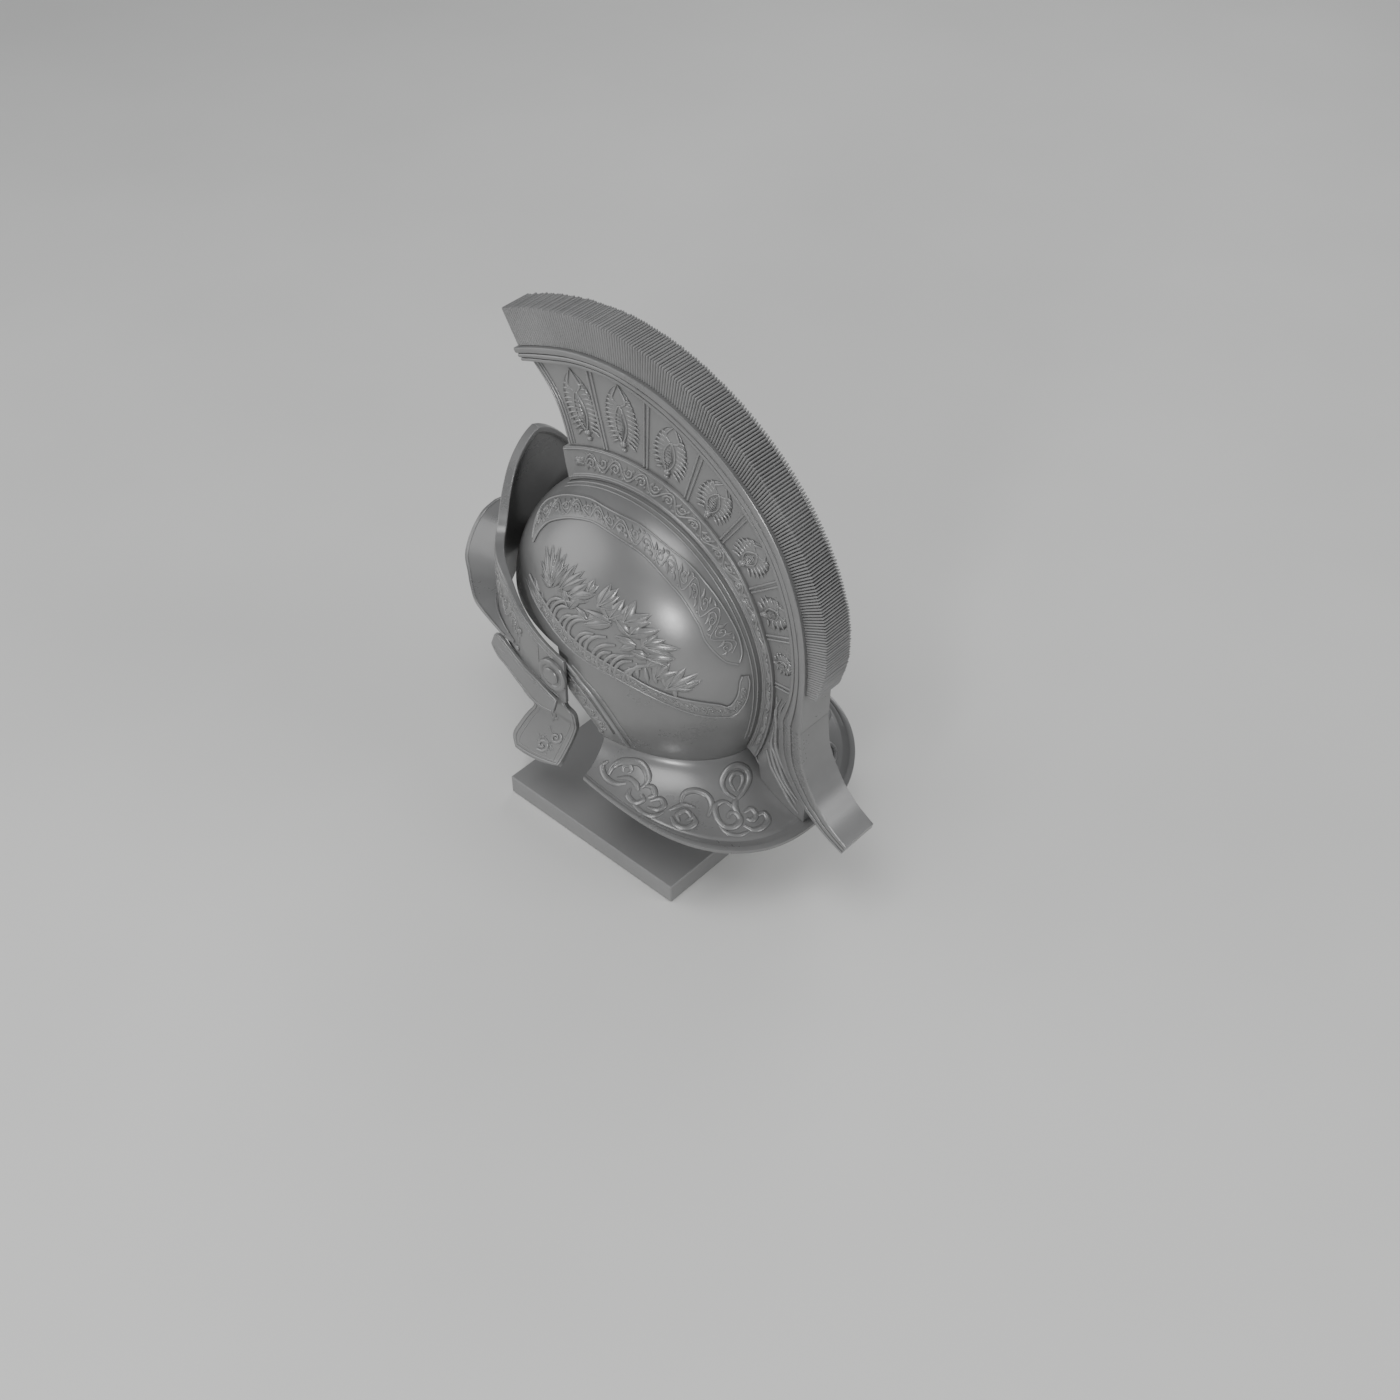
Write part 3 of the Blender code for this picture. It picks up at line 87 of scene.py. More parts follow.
# Neck guard
NECK_HALF_WIDTH = 120 * MM
NECK_BACK = 115 * MM
NECK_FRONT = 252 * MM
NECK_Y = 84 * MM
NECK_DROP_SIDE = 25 * MM
NECK_DROP_BACK = 45 * MM
NECK_WALL = 3 * MM
NECK_START = 16 * MM
NECK_END_BACK = 21 * MM
NECK_ROUNDNESS = 2.3

# Brow plate, peak and ear flanges
BROW_Y = -20 * MM
BROW_HALF_WIDTH = 105 * MM
BROW_LEAN = 4.4 * MM
BROW_WALL = 4 * MM
BROW_RIM = 9 * MM
BROW_RIM_DEPTH = 6 * MM
BROW_SQUARENESS = 2.6
BROW_HEIGHT = 129 * MM
BROW_SKIRT = 52 * MM
PEAK_REACH = 56 * MM
PEAK_RISE = 19 * MM
PEAK_SAG = 37 * MM
PEAK_SLOPE = 6 * MM
PEAK_WALL = 3 * MM
PEAK_END = 0.74
FLANGE_WALL = 4 * MM
FLANGE_LENGTH = 89 * MM
FLANGE_FRONT = 97 * MM
FLANGE_DROP = 46 * MM
FLANGE_HEIGHT = 24 * MM
FLANGE_FLARE = 5 * MM
FLANGE_STAND = 7 * MM

# Cheek guards and hinges
CHEEK_WALL = 4 * MM
CHEEK_DROP = 94 * MM
CHEEK_LENGTH = 77 * MM
CHEEK_FLARE = 13 * MM
CHEEK_CURL = 3 * MM
CHEEK_OUT = 2 * MM
HINGE_AXIS = np.array((95.5, -57.0, 168.3)) * MM
KNUCKLE_LENGTH = 30 * MM
KNUCKLE_RADIUS = 4.3 * MM
LUG_LENGTH = 6 * MM
LUG_OFFSET = 18.8 * MM

# Small fittings
ROSETTE_RADIUS = 16.5 * MM
ROSETTE_BOSS = 8.5 * MM
ROSETTE_THICKNESS = 5.5 * MM
ROSETTE_Y = -33 * MM
ROSETTE_Z = 198.3 * MM
RIVET_RADIUS = 3 * MM
RIVET_RISE = 2 * MM

# Crest
GAP = 0.3 * MM
FRIEZE_GAP = 0.6 * MM
FRIEZE_HALF_WIDTH = 13.4 * MM
FRIEZE_FRAME = 2.4 * MM
FRIEZE_SINK = 1.4 * MM
WEB_HALF_WIDTH = 10.5 * MM
RAIL_HALF_WIDTH = 19.4 * MM
BRUSH_HALF_WIDTH = 15.9 * MM
DEPTHS = {"frieze": 30 * MM, "web": 82 * MM, "rail": 24 * MM, "brush": 33 * MM}
TAIL_OVERHANG = 44 * MM
TAIL_LIFT = 6 * MM
WEB_STOP = 8 * MM
FRIEZE_ANGLES = (57, 212)
WEB_FRONT_ANGLE = 59.5
RAIL_ANGLES = (58, 186)
BRUSH_ANGLES = (58.5, 172.5)
PANEL_ANGLES = (60, 76, 92, 108, 124, 141, 157, 175)


class Table:
    """Rows of sections with named columns, read smoothly between the rows by the first column."""

    def __init__(self, columns, rows):
        self.columns = columns
        self.rows = np.array(rows, float)

    def at(self, name, where):
        xs = self.rows[:, 0]
        ys = self.rows[:, self.columns.index(name)]
        where = min(max(where, xs[0]), xs[-1])
        k = min(int(np.searchsorted(xs, where, side="right")) - 1, len(xs) - 2)
        step = xs[k + 1] - xs[k]
        t = (where - xs[k]) / step
        slope = np.gradient(ys, xs)
        a, b = ys[k], ys[k + 1]
        m, n = slope[k] * step, slope[k + 1] * step
        return float(a * (1 + 2 * t) * (1 - t) ** 2 + m * t * (1 - t) ** 2
                     + b * t * t * (3 - 2 * t) + n * t * t * (t - 1))


CREST = Table(("angle", "frieze", "web", "rail", "brush"), (
    (55, 1.00, 1.01, 0.52, 1.07),
    (65, 0.99, 0.95, 0.63, 1.05),
    (75, 0.99, 0.94, 0.63, 0.98),
    (85, 0.99, 0.91, 0.67, 0.92),
    (95, 0.99, 0.83, 0.82, 0.83),
    (105, 0.97, 0.75, 0.87, 0.78),
    (115, 0.89, 0.69, 0.90, 0.73),
    (125, 0.80, 0.63, 0.90, 0.69),
    (135, 0.71, 0.56, 0.87, 0.69),
    (145, 0.58, 0.48, 0.84, 0.74),
    (155, 0.47, 0.40, 0.79, 0.73),
    (165, 0.44, 0.31, 0.73, 0.58),
    (173, 0.41, 0.25, 0.73, 0.32),
    (186, 0.40, 0.11, 1.12, 0.22),
    (212, 0.39, 0.11, 1.12, 0.08),
))

TAIL = Table(("step", "run", "fall", "depth"), (
    (0.0, 0.00, 0.00, 1.12),
    (1.0, 0.06, 0.42, 1.17),
    (2.0, 0.34, 0.74, 1.00),
    (3.0, 0.66, 0.91, 0.72),
    (4.0, 1.00, 1.00, 0.42),
))

BROW = Table(("share", "top", "skirt", "rim"), (
    (0.00, 1.00, 0.00, 1.00),
    (0.05, 0.94, 0.04, 1.00),
    (0.10, 0.87, 0.15, 1.00),
    (0.15, 0.79, 0.35, 1.00),
    (0.22, 0.64, 0.48, 1.00),
    (0.30, 0.45, 0.50, 1.00),
    (0.40, 0.38, 0.50, 1.00),
    (0.50, 0.36, 0.52, 0.95),
    (0.62, 0.33, 0.62, 0.85),
    (0.68, 0.30, 0.69, 0.76),
    (0.75, 0.22, 0.75, 0.66),
    (0.83, 0.125, 0.81, 0.58),
    (0.91, 0.055, 0.90, 0.46),
    (1.00, -0.02, 1.00, 0.46),
))

PEAK = Table(("share", "reach", "sag"), (
    (0.00, 1.00, 0.00),
    (0.05, 1.00, 0.12),
    (0.10, 1.00, 0.46),
    (0.15, 0.95, 0.82),
    (0.22, 0.72, 1.00),
    (0.30, 0.54, 1.02),
    (0.40, 0.39, 0.98),
    (0.50, 0.24, 0.97),
    (0.62, 0.14, 0.93),
    (0.68, 0.09, 0.98),
    (0.74, 0.02, 1.01),
))

FLANGE = Table(("share", "drop", "height", "stand"), (
    (0.00, 0.57, 0.33, 1.00),
    (0.10, 0.46, 0.83, 0.72),
    (0.25, 0.55, 0.80, 0.36),
    (0.45, 0.69, 0.85, 0.09),
    (0.65, 0.785, 0.96, 0.00),
    (0.85, 0.90, 0.80, 0.00),
    (1.00, 1.00, 0.46, 0.00),
))

# Cheek guard below its hinge, as shares of its length, drop and flare
CHEEK = (
    # front edge, front drop, rear edge, rear drop, flare
    (0.455, 0.149, 0.390, 0.128, 0.04),
    (0.416, 0.245, 0.494, 0.181, 0.00),
    (0.350, 0.340, 0.506, 0.287, -0.08),
    (0.234, 0.426, 0.480, 0.394, -0.23),
    (0.325, 0.564, 0.442, 0.543, 0.04),
    (0.430, 0.734, 0.403, 0.670, 0.38),
    (0.494, 0.883, 0.364, 0.787, 0.73),
    (0.416, 1.000, 0.338, 0.840, 1.00),
)

SCROLL_BAND = (
    # high side, high lift, low side, low lift
    (46.0, 31.5, 48.0, 31.0),
    (29.0, 40.0, 47.0, 37.5),
    (29.0, 48.0, 49.0, 44.5),
    (39.0, 58.5, 60.5, 54.0),
    (60.5, 66.5, 80.0, 59.5),
    (111.5, 68.5, 115.0, 56.5),
    (144.5, 57.5, 136.0, 44.5),
    (157.0, 45.0, 144.5, 32.5),
    (163.5, 29.5, 147.0, 25.0),
    (164.0, 20.0, 154.0, 17.5),
    (161.5, 15.5, 160.5, 15.0),
)

LOW_BAND = (
    # high side, high lift, low side, low lift
    (57.0, 20.5, 61.0, 14.5),
    (72.0, 16.9, 73.0, 10.8),
    (90.0, 10.9, 89.0, 5.6),
    (112.0, 7.2, 110.0, 3.0),
    (122.0, 4.2, 128.0, -1.7),
    (134.0, 1.3, 142.0, -5.3),
    (149.0, -1.0, 152.0, -6.6),
    (155.0, -2.5, 158.0, -6.6),
    (159.0, 1.0, 163.5, -2.0),
    (160.5, 7.0, 165.5, 5.5),
    (162.0, 9.6, 164.8, 9.2),
)

# Leaf groups of the spray: root, half width of a lobe in mm, and the lobes' tips, as plan and height angles
SPRAY = (
    ((72.8, 25.4), 3.1, ((63.9, 25.2), (60.5, 29.8), (58.5, 36.2), (62.0, 39.2), (66.9, 41.1), (72.4, 40.9),
                         (76.4, 38.0))),
    ((76.9, 26.2), 2.8, ((81.0, 40.7), (86.4, 39.9), (88.6, 37.6))),
    ((91.4, 33.1), 2.4, ((93.1, 39.4), (95.9, 37.4))),
    ((97.8, 29.5), 3.4, ((102.1, 40.4), (106.2, 40.0), (107.1, 36.8), (109.5, 32.0))),
    ((110.6, 27.7), 3.2, ((112.3, 35.6), (115.7, 37.7), (120.5, 33.3), (123.3, 33.8), (122.9, 30.5))),
    ((118.9, 20.8), 3.0, ((122.3, 26.1), (125.7, 26.3), (129.2, 25.0), (135.3, 22.3), (131.9, 19.1))),
    ((121.0, 12.8), 2.4, ((124.3, 17.0), (128.0, 17.3))),
    ((128.2, 4.7), 2.9, ((132.6, 12.8), (136.9, 14.9), (142.2, 12.9), (141.3, 9.9), (137.7, 7.2))),
    ((69.8, 13.1), 2.7, ((54.8, 17.0), (61.2, 21.4), (68.4, 19.5))),
    ((105.1, 25.4), 3.0, ((91.4, 25.5), (91.7, 19.2))),
    ((116.2, 20.1), 2.6, ((106.5, 21.1), (109.1, 16.2))),
    ((83.0, 27.0), 3.0, ((90.5, 36.0), (96.0, 34.0), (93.0, 29.5))),
    ((104.0, 27.0), 3.2, ((98.5, 34.0), (113.0, 33.0), (110.0, 37.0))),
    ((113.5, 23.5), 3.2, ((119.0, 30.0), (127.0, 28.6), (106.0, 29.0))),
    ((121.0, 16.5), 3.0, ((133.0, 18.2), (130.5, 14.8), (114.0, 17.6))),
    ((124.0, 8.5), 2.8, ((130.5, 16.0), (134.0, 13.0), (126.0, 17.5))),
    ((133.0, 5.5), 2.6, ((143.5, 10.0), (140.0, 6.4))),
    ((84.5, 22.5), 2.8, ((77.0, 29.5), (89.5, 31.5))),
    ((94.0, 22.0), 2.8, ((87.0, 24.5), (101.0, 27.5))),
)

# Feet of the bent stems on the low band, and each stem's bends from its foot, in degrees
STEM_FEET = ((73.5, 12.6), (81.5, 11.2), (89.9, 8.1), (98.2, 5.2), (106.2, 2.6), (114.0, 1.6))
STEM_BENDS = ((0.0, 0.0), (-0.5, 2.4), (-0.4, 4.8), (0.9, 7.9), (4.0, 10.8), (8.3, 12.4))

# Oval buds behind the stems: their two ends
BUDS = (
    ((113.6, 10.6), (114.1, 4.9)),
    ((116.6, 13.1), (117.1, 6.4)),
    ((120.0, 12.5), (121.2, 5.4)),
    ((123.4, 12.2), (124.6, 6.2)),
    ((126.8, 12.0), (128.2, 5.0)),
    ((131.4, 7.6), (132.3, 0.8)),
)

# Curls on one side of the neck guard: half width in mm, then points as (share along, share down)
NECK_CURLS = (
    (2.0, ((0.129, 0.612), (0.086, 0.726), (0.052, 0.712), (0.032, 0.582), (0.050, 0.446))),
    (2.6, ((0.062, 0.661), (0.078, 0.461), (0.126, 0.301), (0.210, 0.218), (0.250, 0.303), (0.250, 0.436),
           (0.208, 0.569))),
    (1.4, ((0.119, 0.471), (0.123, 0.384), (0.153, 0.328), (0.163, 0.385), (0.139, 0.454))),
    (1.8, ((0.093, 0.625), (0.141, 0.524), (0.180, 0.548), (0.189, 0.628))),
    (2.0, ((0.145, 0.648), (0.135, 0.776), (0.161, 0.812), (0.207, 0.713), (0.203, 0.650))),
    (2.0, ((0.216, 0.528), (0.271, 0.501), (0.276, 0.584), (0.235, 0.659))),
    (2.0, ((0.244, 0.686), (0.304, 0.608), (0.318, 0.669), (0.275, 0.755), (0.224, 0.778))),
    (1.8, ((0.151, 0.836), (0.192, 0.877), (0.248, 0.851), (0.308, 0.747))),
    (1.8, ((0.338, 0.706), (0.384, 0.642), (0.431, 0.589), (0.486, 0.598))),
    (2.2, ((0.345, 0.767), (0.362, 0.845), (0.413, 0.837), (0.465, 0.753), (0.460, 0.672))),
    (1.8, ((0.382, 0.799), (0.382, 0.719), (0.431, 0.654), (0.450, 0.708), (0.417, 0.767))),
    (2.2, ((0.411, 0.582), (0.445, 0.463), (0.509, 0.407), (0.570, 0.444), (0.582, 0.544), (0.539, 0.677))),
    (2.2, ((0.734, 0.498), (0.688, 0.405), (0.690, 0.289), (0.755, 0.172), (0.826, 0.153), (0.878, 0.236),
           (0.866, 0.339), (0.799, 0.440), (0.735, 0.504))),
    (1.5, ((0.747, 0.419), (0.739, 0.308), (0.787, 0.236), (0.829, 0.268), (0.818, 0.341), (0.762, 0.425))),
    (2.2, ((0.735, 0.493), (0.706, 0.571), (0.710, 0.661))),
    (2.2, ((0.702, 0.575), (0.657, 0.511), (0.601, 0.558), (0.586, 0.669), (0.604, 0.753), (0.651, 0.768),
           (0.703, 0.710), (0.699, 0.637), (0.667, 0.627), (0.641, 0.682))),
    (1.6, ((0.582, 0.730), (0.607, 0.818), (0.662, 0.845), (0.725, 0.813))),
    (2.0, ((0.740, 0.638), (0.787, 0.620), (0.798, 0.683), (0.765, 0.725), (0.740, 0.700))),
    (2.2, ((0.789, 0.694), (0.838, 0.691), (0.839, 0.767), (0.792, 0.811), (0.744, 0.814), (0.710, 0.758))),
)

# Face opening's edge behind and above the bowl's centre, in mm
FACE_EDGE = (
    (-24.0, 5.0),
    (-23.9, 4.0),
    (-15.0, -41.0),
    (-3.0, -54.0),
    (6.0, -65.0),
    (12.5, -78.0),
    (16.0, -90.0),
)

# Carved panel before the ear rim: its two borders in plan and height angles
EAR_PANEL = (
    (83.6, -7.5, 84.6, -4.6),
    (86.0, -12.5, 91.0, -8.6),
    (89.8, -17.0, 97.0, -13.2),
    (93.8, -21.5, 101.8, -19.0),
    (97.0, -25.6, 104.6, -24.4),
)

# Ear rim as plan and height angles on the bowl
EAR_RIM = ((84.5, -2.6), (91.0, -5.6), (97.5, -9.8), (103.0, -16.5), (107.0, -23.0), (110.5, -29.0))


# Curves and surfaces

def smooth(points, count):
    """Points evenly spread on a smooth curve through the given ones."""
    pts = np.array(points, float)
    if len(pts) == 2:
        return pts[0] + (pts[1] - pts[0]) * np.linspace(0, 1, count)[:, None]
    ends = np.vstack((2 * pts[0] - pts[1], pts, 2 * pts[-1] - pts[-2]))
    where = np.linspace(0, len(pts) - 1, count)
    k = np.minimum(where.astype(int), len(pts) - 2)
    t = (where - k)[:, None]
    a, b, c, d = ends[k], ends[k + 1], ends[k + 2], ends[k + 3]
    return 0.5 * (2 * b + (c - a) * t + (2 * a - 5 * b + 4 * c - d) * t ** 2 + (3 * b - a - 3 * c + d)
                  * t ** 3)


def unit(vector):
    return vector / max(float(np.linalg.norm(vector)), 1e-12)


def bowl_at(side, lift, out=0.0):
    """Point and outward normal on the bowl's left half, by plan angle from the front and height angle."""
    a, e = math.radians(side), math.radians(lift)
    way = np.array((math.sin(a) * math.cos(e), -math.cos(a) * math.cos(e), math.sin(e)))
    half = np.array((BOWL_HALF_WIDTH, BOWL_FRONT if way[1] < 0 else BOWL_BACK,
                     BOWL_RISE if way[2] > 0 else BOWL_TAPER))
    normal = unit(way / half)
    return BOWL_CENTRE + way * half + normal * out, normal


def ridge_radius(angle):
    c, s = math.cos(math.radians(angle)), math.sin(math.radians(angle))
    return 1 / math.hypot(c / (BOWL_FRONT if c > 0 else BOWL_BACK), s / (BOWL_RISE if s > 0 else BOWL_TAPER))


def polar(angle, radius):
    """(y, z) in the middle plane, round the bowl's centre."""
    a = math.radians(angle)
    return np.array((BOWL_CENTRE[1] - radius * math.cos(a), BOWL_CENTRE[2] + radius * math.sin(a)))


def band_edge(angle, bands):
    return ridge_radius(angle) + sum(GAP + DEPTHS[band] * CREST.at(band, angle) for band in bands)


def crown_at(angle, x, out=0.0):
    """Point and normal on the bowl, at an angle round the middle plane's ridge and a distance beside it."""
    k = math.sqrt(1 - (x / BOWL_HALF_WIDTH) ** 2)
    radius = ridge_radius(angle) * k
    y, z = polar(angle, radius)
    point = np.array((x, y, z))
    half = np.array((BOWL_HALF_WIDTH, BOWL_FRONT if y < BOWL_CENTRE[1] else BOWL_BACK,
                     BOWL_RISE if z > BOWL_CENTRE[2] else BOWL_TAPER))
    normal = unit((point - BOWL_CENTRE) / half ** 2)
    return point + normal * out, normal


def crease_plan(angle):
    taper = math.sqrt(1 - (BOWL_DEPTH / BOWL_TAPER) ** 2)
    a = math.radians(angle)
    return np.array((BOWL_HALF_WIDTH * taper * math.cos(a), BOWL_CENTRE[1] + BOWL_BACK * taper * math.sin(a)))


def neck_rim(share):
    y0 = BOWL_CENTRE[1] + NECK_Y
    start = math.asin((BOWL_CENTRE[1] + NECK_END_BACK - y0) / NECK_FRONT)
    a = start + (math.pi / 2 - start) * share
    c, s = math.cos(a), math.sin(a)
    power = 2 / NECK_ROUNDNESS
    x = NECK_HALF_WIDTH * (c if s < 0 else max(c, 0.0) ** power)
    y = y0 + (NECK_FRONT * s if s < 0 else NECK_BACK * s ** power)
    drop = NECK_DROP_SIDE + (NECK_DROP_BACK - NECK_DROP_SIDE) * max(s, 0.0) ** 2
    return np.array((x, y, BOWL_CENTRE[2] - BOWL_DEPTH - drop))


def neck_top(share):
    start = math.degrees(math.asin(NECK_START / (crease_plan(90)[1] - BOWL_CENTRE[1])))
    x, y = crease_plan(start + (90 - start) * share)
    return np.array((x, y, BOWL_CENTRE[2] - BOWL_DEPTH - GAP))


def neck_point(share, v):
    top, rim = neck_top(share), neck_rim(share)
    blend = np.array((v ** 1.5, v ** 1.5, 1 - (1 - v) ** 1.5))
    return top + (rim - top) * blend


def neck_at(share, v, out=0.0):
    """Point and normal on the neck guard's upper face: along it (0 front end, 1 middle) and down it."""
    share, v = min(max(share, 0.0), 1.0), min(max(v, 0.0), 1.0)
    step = 0.01
    along = neck_point(min(share + step, 1.0), v) - neck_point(max(share - step, 0.0), v)
    across = neck_point(share, min(v + step, 1.0)) - neck_point(share, max(v - step, 0.0))
    normal = unit(np.cross(across, along))
    return neck_point(share, v) + normal * out, normal


def brow_at(share, rise, out=0.0):
    """Point and normal on the brow plate's outer face, at a height above the bowl's front rim."""
    lean = BROW_LEAN * rise / BROW_HEIGHT
    front = BROW_Y - BOWL_CENTRE[1] + BOWL_FRONT + GAP + BROW_WALL - lean
    power = 2 / BROW_SQUARENESS
    a = math.radians(90) * share
    c, s = max(math.cos(a), 0.0), math.sin(a)
    steep = BROW_SQUARENESS - 1
    normal = unit(np.array(((s ** power) ** steep / BROW_HALF_WIDTH, -(c ** power) ** steep / front, 0.0)))
    point = np.array((BROW_HALF_WIDTH * s ** power, BROW_Y - front * c ** power,
                      BOWL_CENTRE[2] + BROW_RISE + rise))
    return point + normal * out, normal


def brow_share_at(y):
    front = BROW_Y - BOWL_CENTRE[1] + BOWL_FRONT + GAP + BROW_WALL
    depth = min(max((BROW_Y - y) / front, 0.0), 1.0)
    return math.degrees(math.acos(depth ** (BROW_SQUARENESS / 2))) / 90


def cheek_grid():
    """The cheek guard's outer face: rows from below the hinge to the wing's rim, front to rear."""
    half = KNUCKLE_LENGTH / 2
    shoulder = KNUCKLE_RADIUS + 2.7 * MM
    front, rear = CHEEK[0][0] * CHEEK_LENGTH * 0.92, CHEEK[0][2] * CHEEK_LENGTH * 0.86
    bands = [(half, 3.1 * MM, half, 3.1 * MM, 0.0),
             (half, shoulder - 0.8 * MM, half, shoulder - 0.8 * MM, 0.0),
             (front, shoulder, rear, shoulder, 0.0)]
    bands += [(f * CHEEK_LENGTH, fd * CHEEK_DROP, r * CHEEK_LENGTH, rd * CHEEK_DROP, flare * CHEEK_FLARE)
              for f, fd, r, rd, flare in CHEEK]
    head, body = np.array(bands[:3]), smooth(bands[2:], 41)
    rows = []
    for f, fd, r, rd, flare in np.vstack((head[:2], body)):
        row = []
        for t in np.linspace(0, 1, 25):
            y = HINGE_AXIS[1] - f + (f + r) * t
            ahead = max((HINGE_AXIS[1] - half - y) / (CHEEK_LENGTH / 2), 0.0)
            drop = fd + (rd - fd) * t + 4 * t * (1 - t) * max(flare, 0.0) * 0.35
            x = HINGE_AXIS[0] + CHEEK_OUT + flare - CHEEK_CURL * ahead ** 2
            row.append((x, y, HINGE_AXIS[2] - drop))
        rows.append(row)
    return np.array(rows)


CHEEK_GRID = cheek_grid()


def cheek_at(across, down, out=0.0):
    """Point and normal on the cheek guard's outer face, from its front edge and from its hinge (0 to 1)."""
    rows, columns = CHEEK_GRID.shape[:2]
    def point(t, s):
        i, j = np.clip(s, 0, 1) * (rows - 1), np.clip(t, 0, 1) * (columns - 1)
        a, b = min(int(i), rows - 2), min(int(j), columns - 2)
        u, v = i - a, j - b
        near = CHEEK_GRID[a, b] * (1 - v) + CHEEK_GRID[a, b + 1] * v
        far = CHEEK_GRID[a + 1, b] * (1 - v) + CHEEK_GRID[a + 1, b + 1] * v
        return near * (1 - u) + far * u
    step = 0.03
    normal = unit(np.cross(point(across, down - step) - point(across, down + step),
                           point(across - step, down) - point(across + step, down)))
    if normal[0] < 0:
        normal = -normal
    return point(across, down) + normal * out, normal


def side_face(half_width):
    """A flat side of the crest, in angles and radii round the bowl's centre."""
    def at(angle, radius, out=0.0):
        y, z = polar(angle, radius)
        return np.array((half_width + out, y, z)), np.array((1.0, 0.0, 0.0))
    return at


def tail_place(step):
    y0, z0 = polar(RAIL_ANGLES[1], band_edge(RAIL_ANGLES[1], ("frieze", "web")) + GAP)
    rim = neck_rim(1.0)
    y1, z1 = rim[1] + TAIL_OVERHANG, rim[2] + TAIL_LIFT
    return np.array((y0 + (y1 - y0) * TAIL.at("run", step), z0 - (z0 - z1) * TAIL.at("fall", step)))


def rail_stations(crest_count, tail_count):
    """The rail's under edge, its outward way, its depth and how far along the tail it lies (0 to 1)."""
    stations = []
    for angle in np.linspace(*RAIL_ANGLES, crest_count + 1):
        a = math.radians(angle)
        under = polar(angle, band_edge(angle, ("frieze", "web")) + GAP)
        stations.append((under, np.array((-math.cos(a), math.sin(a))),
                         DEPTHS["rail"] * CREST.at("rail", angle), 0.0))
    for step in np.linspace(0, 4, tail_count + 1)[1:]:
        way = unit(tail_place(min(step + 0.05, 4.0)) - tail_place(max(step - 0.05, 0.0)))
        stations.append((tail_place(step), np.array((-way[1], way[0])),
                         DEPTHS["rail"] * TAIL.at("depth", step), step / 4))
    return stations


# Meshes

class Shape:
    """Points and faces gathered for one piece."""

    def __init__(self):
        self.points = []
        self.faces = []

    def grid(self, rows, close_rows=False, close_columns=False):
        start, count, wide = len(self.points), len(rows), len(rows[0])
        self.points += [tuple(p) for row in rows for p in row]
        for i in range(count if close_rows else count - 1):
            for j in range(wide if close_columns else wide - 1):
                a, b, k = i * wide, (i + 1) % count * wide, (j + 1) % wide
                self.faces.append((start + a + j, start + a + k, start + b + k, start + b + j))

    def loft(self, rings):
        start = len(self.points)
        self.grid(rings, close_columns=True)
        wide = len(rings[0])
        self.faces.append(tuple(range(start, start + wide)))
        self.faces.append(tuple(range(start + (len(rings) - 1) * wide, start + len(rings) * wide)))

    def turn(self, profile, origin, axis, sides=32):
        """A turned body from (radius, distance along the axis) pairs, closed at both ends."""
        axis = unit(np.array(axis, float))
        one = unit(np.cross(axis, (0.31, 0.52, 0.79)))
        two = np.cross(axis, one)
        rings = []
        for radius, along in profile:
            radius = max(radius, 1e-5)
            rings.append([np.array(origin) + axis * along + (one * math.cos(a) + two * math.sin(a)) * radius
                          for a in np.linspace(0, 2 * math.pi, sides, endpoint=False)])
        self.loft(rings)

    def both_sides(self):
        start = len(self.points)
        self.points += [(-x, y, z) for x, y, z in self.points]
        self.faces += [tuple(start + i for i in face) for face in self.faces]
        return self

    def finish(self, name, material, sharp=40, merge=True):
        """The gathered faces as an object, with its normals outwards."""
        bm = bmesh.new()
        verts = [bm.verts.new(p) for p in self.points]
        for face in self.faces:
            bm.faces.new([verts[i] for i in face])
        if merge:
            bmesh.ops.remove_doubles(bm, verts=bm.verts, dist=0.02 * MM)
            bmesh.ops.dissolve_degenerate(bm, edges=bm.edges, dist=0.005 * MM)
        bmesh.ops.recalc_face_normals(bm, faces=bm.faces)
        mesh = bpy.data.meshes.new(name)
        bm.to_mesh(mesh)
        bm.free()
        mesh.materials.append(material)
        mesh.shade_smooth()
        mesh.set_sharp_from_angle(angle=math.radians(sharp))
        obj = bpy.data.objects.new(name, mesh)
        bpy.context.scene.collection.objects.link(obj)
        return obj


def apply_modifiers(obj, name):
    """The object's shape with its modifiers, as a plain mesh."""
    depsgraph = bpy.context.evaluated_depsgraph_get()
    mesh = bpy.data.meshes.new_from_object(obj.evaluated_get(depsgraph))
    obj.modifiers.clear()
    obj.data = mesh
    mesh.name = name
    return obj


def rounded(obj, width, segments=2, angle=35):
    bevel = obj.modifiers.new("Edge", "BEVEL")
    bevel.width = width
    bevel.segments = segments
    bevel.limit_method = "ANGLE"
    bevel.angle_limit = math.radians(angle)
    bevel.harden_normals = False
    return apply_modifiers(obj, obj.name)


def join(name, objects):
    """Several objects of one body as one mesh."""
    bm = bmesh.new()
    materials = []
    for obj in objects:
        for mat in obj.data.materials:
            if mat not in materials:
                materials.append(mat)
    for obj in objects:
        first = len(bm.faces)
        bm.from_mesh(obj.data)
        bm.faces.ensure_lookup_table()
        slot = materials.index(obj.data.materials[0])
        for face in bm.faces[first:]:
            face.material_index = slot
    mesh = bpy.data.meshes.new(name)
    bm.to_mesh(mesh)
    bm.free()
    for mat in materials:
        mesh.materials.append(mat)
    for obj in objects:
        bpy.data.objects.remove(obj, do_unlink=True)
    piece = bpy.data.objects.new(name, mesh)
    bpy.context.scene.collection.objects.link(piece)
    return piece


# Geometry Nodes trees

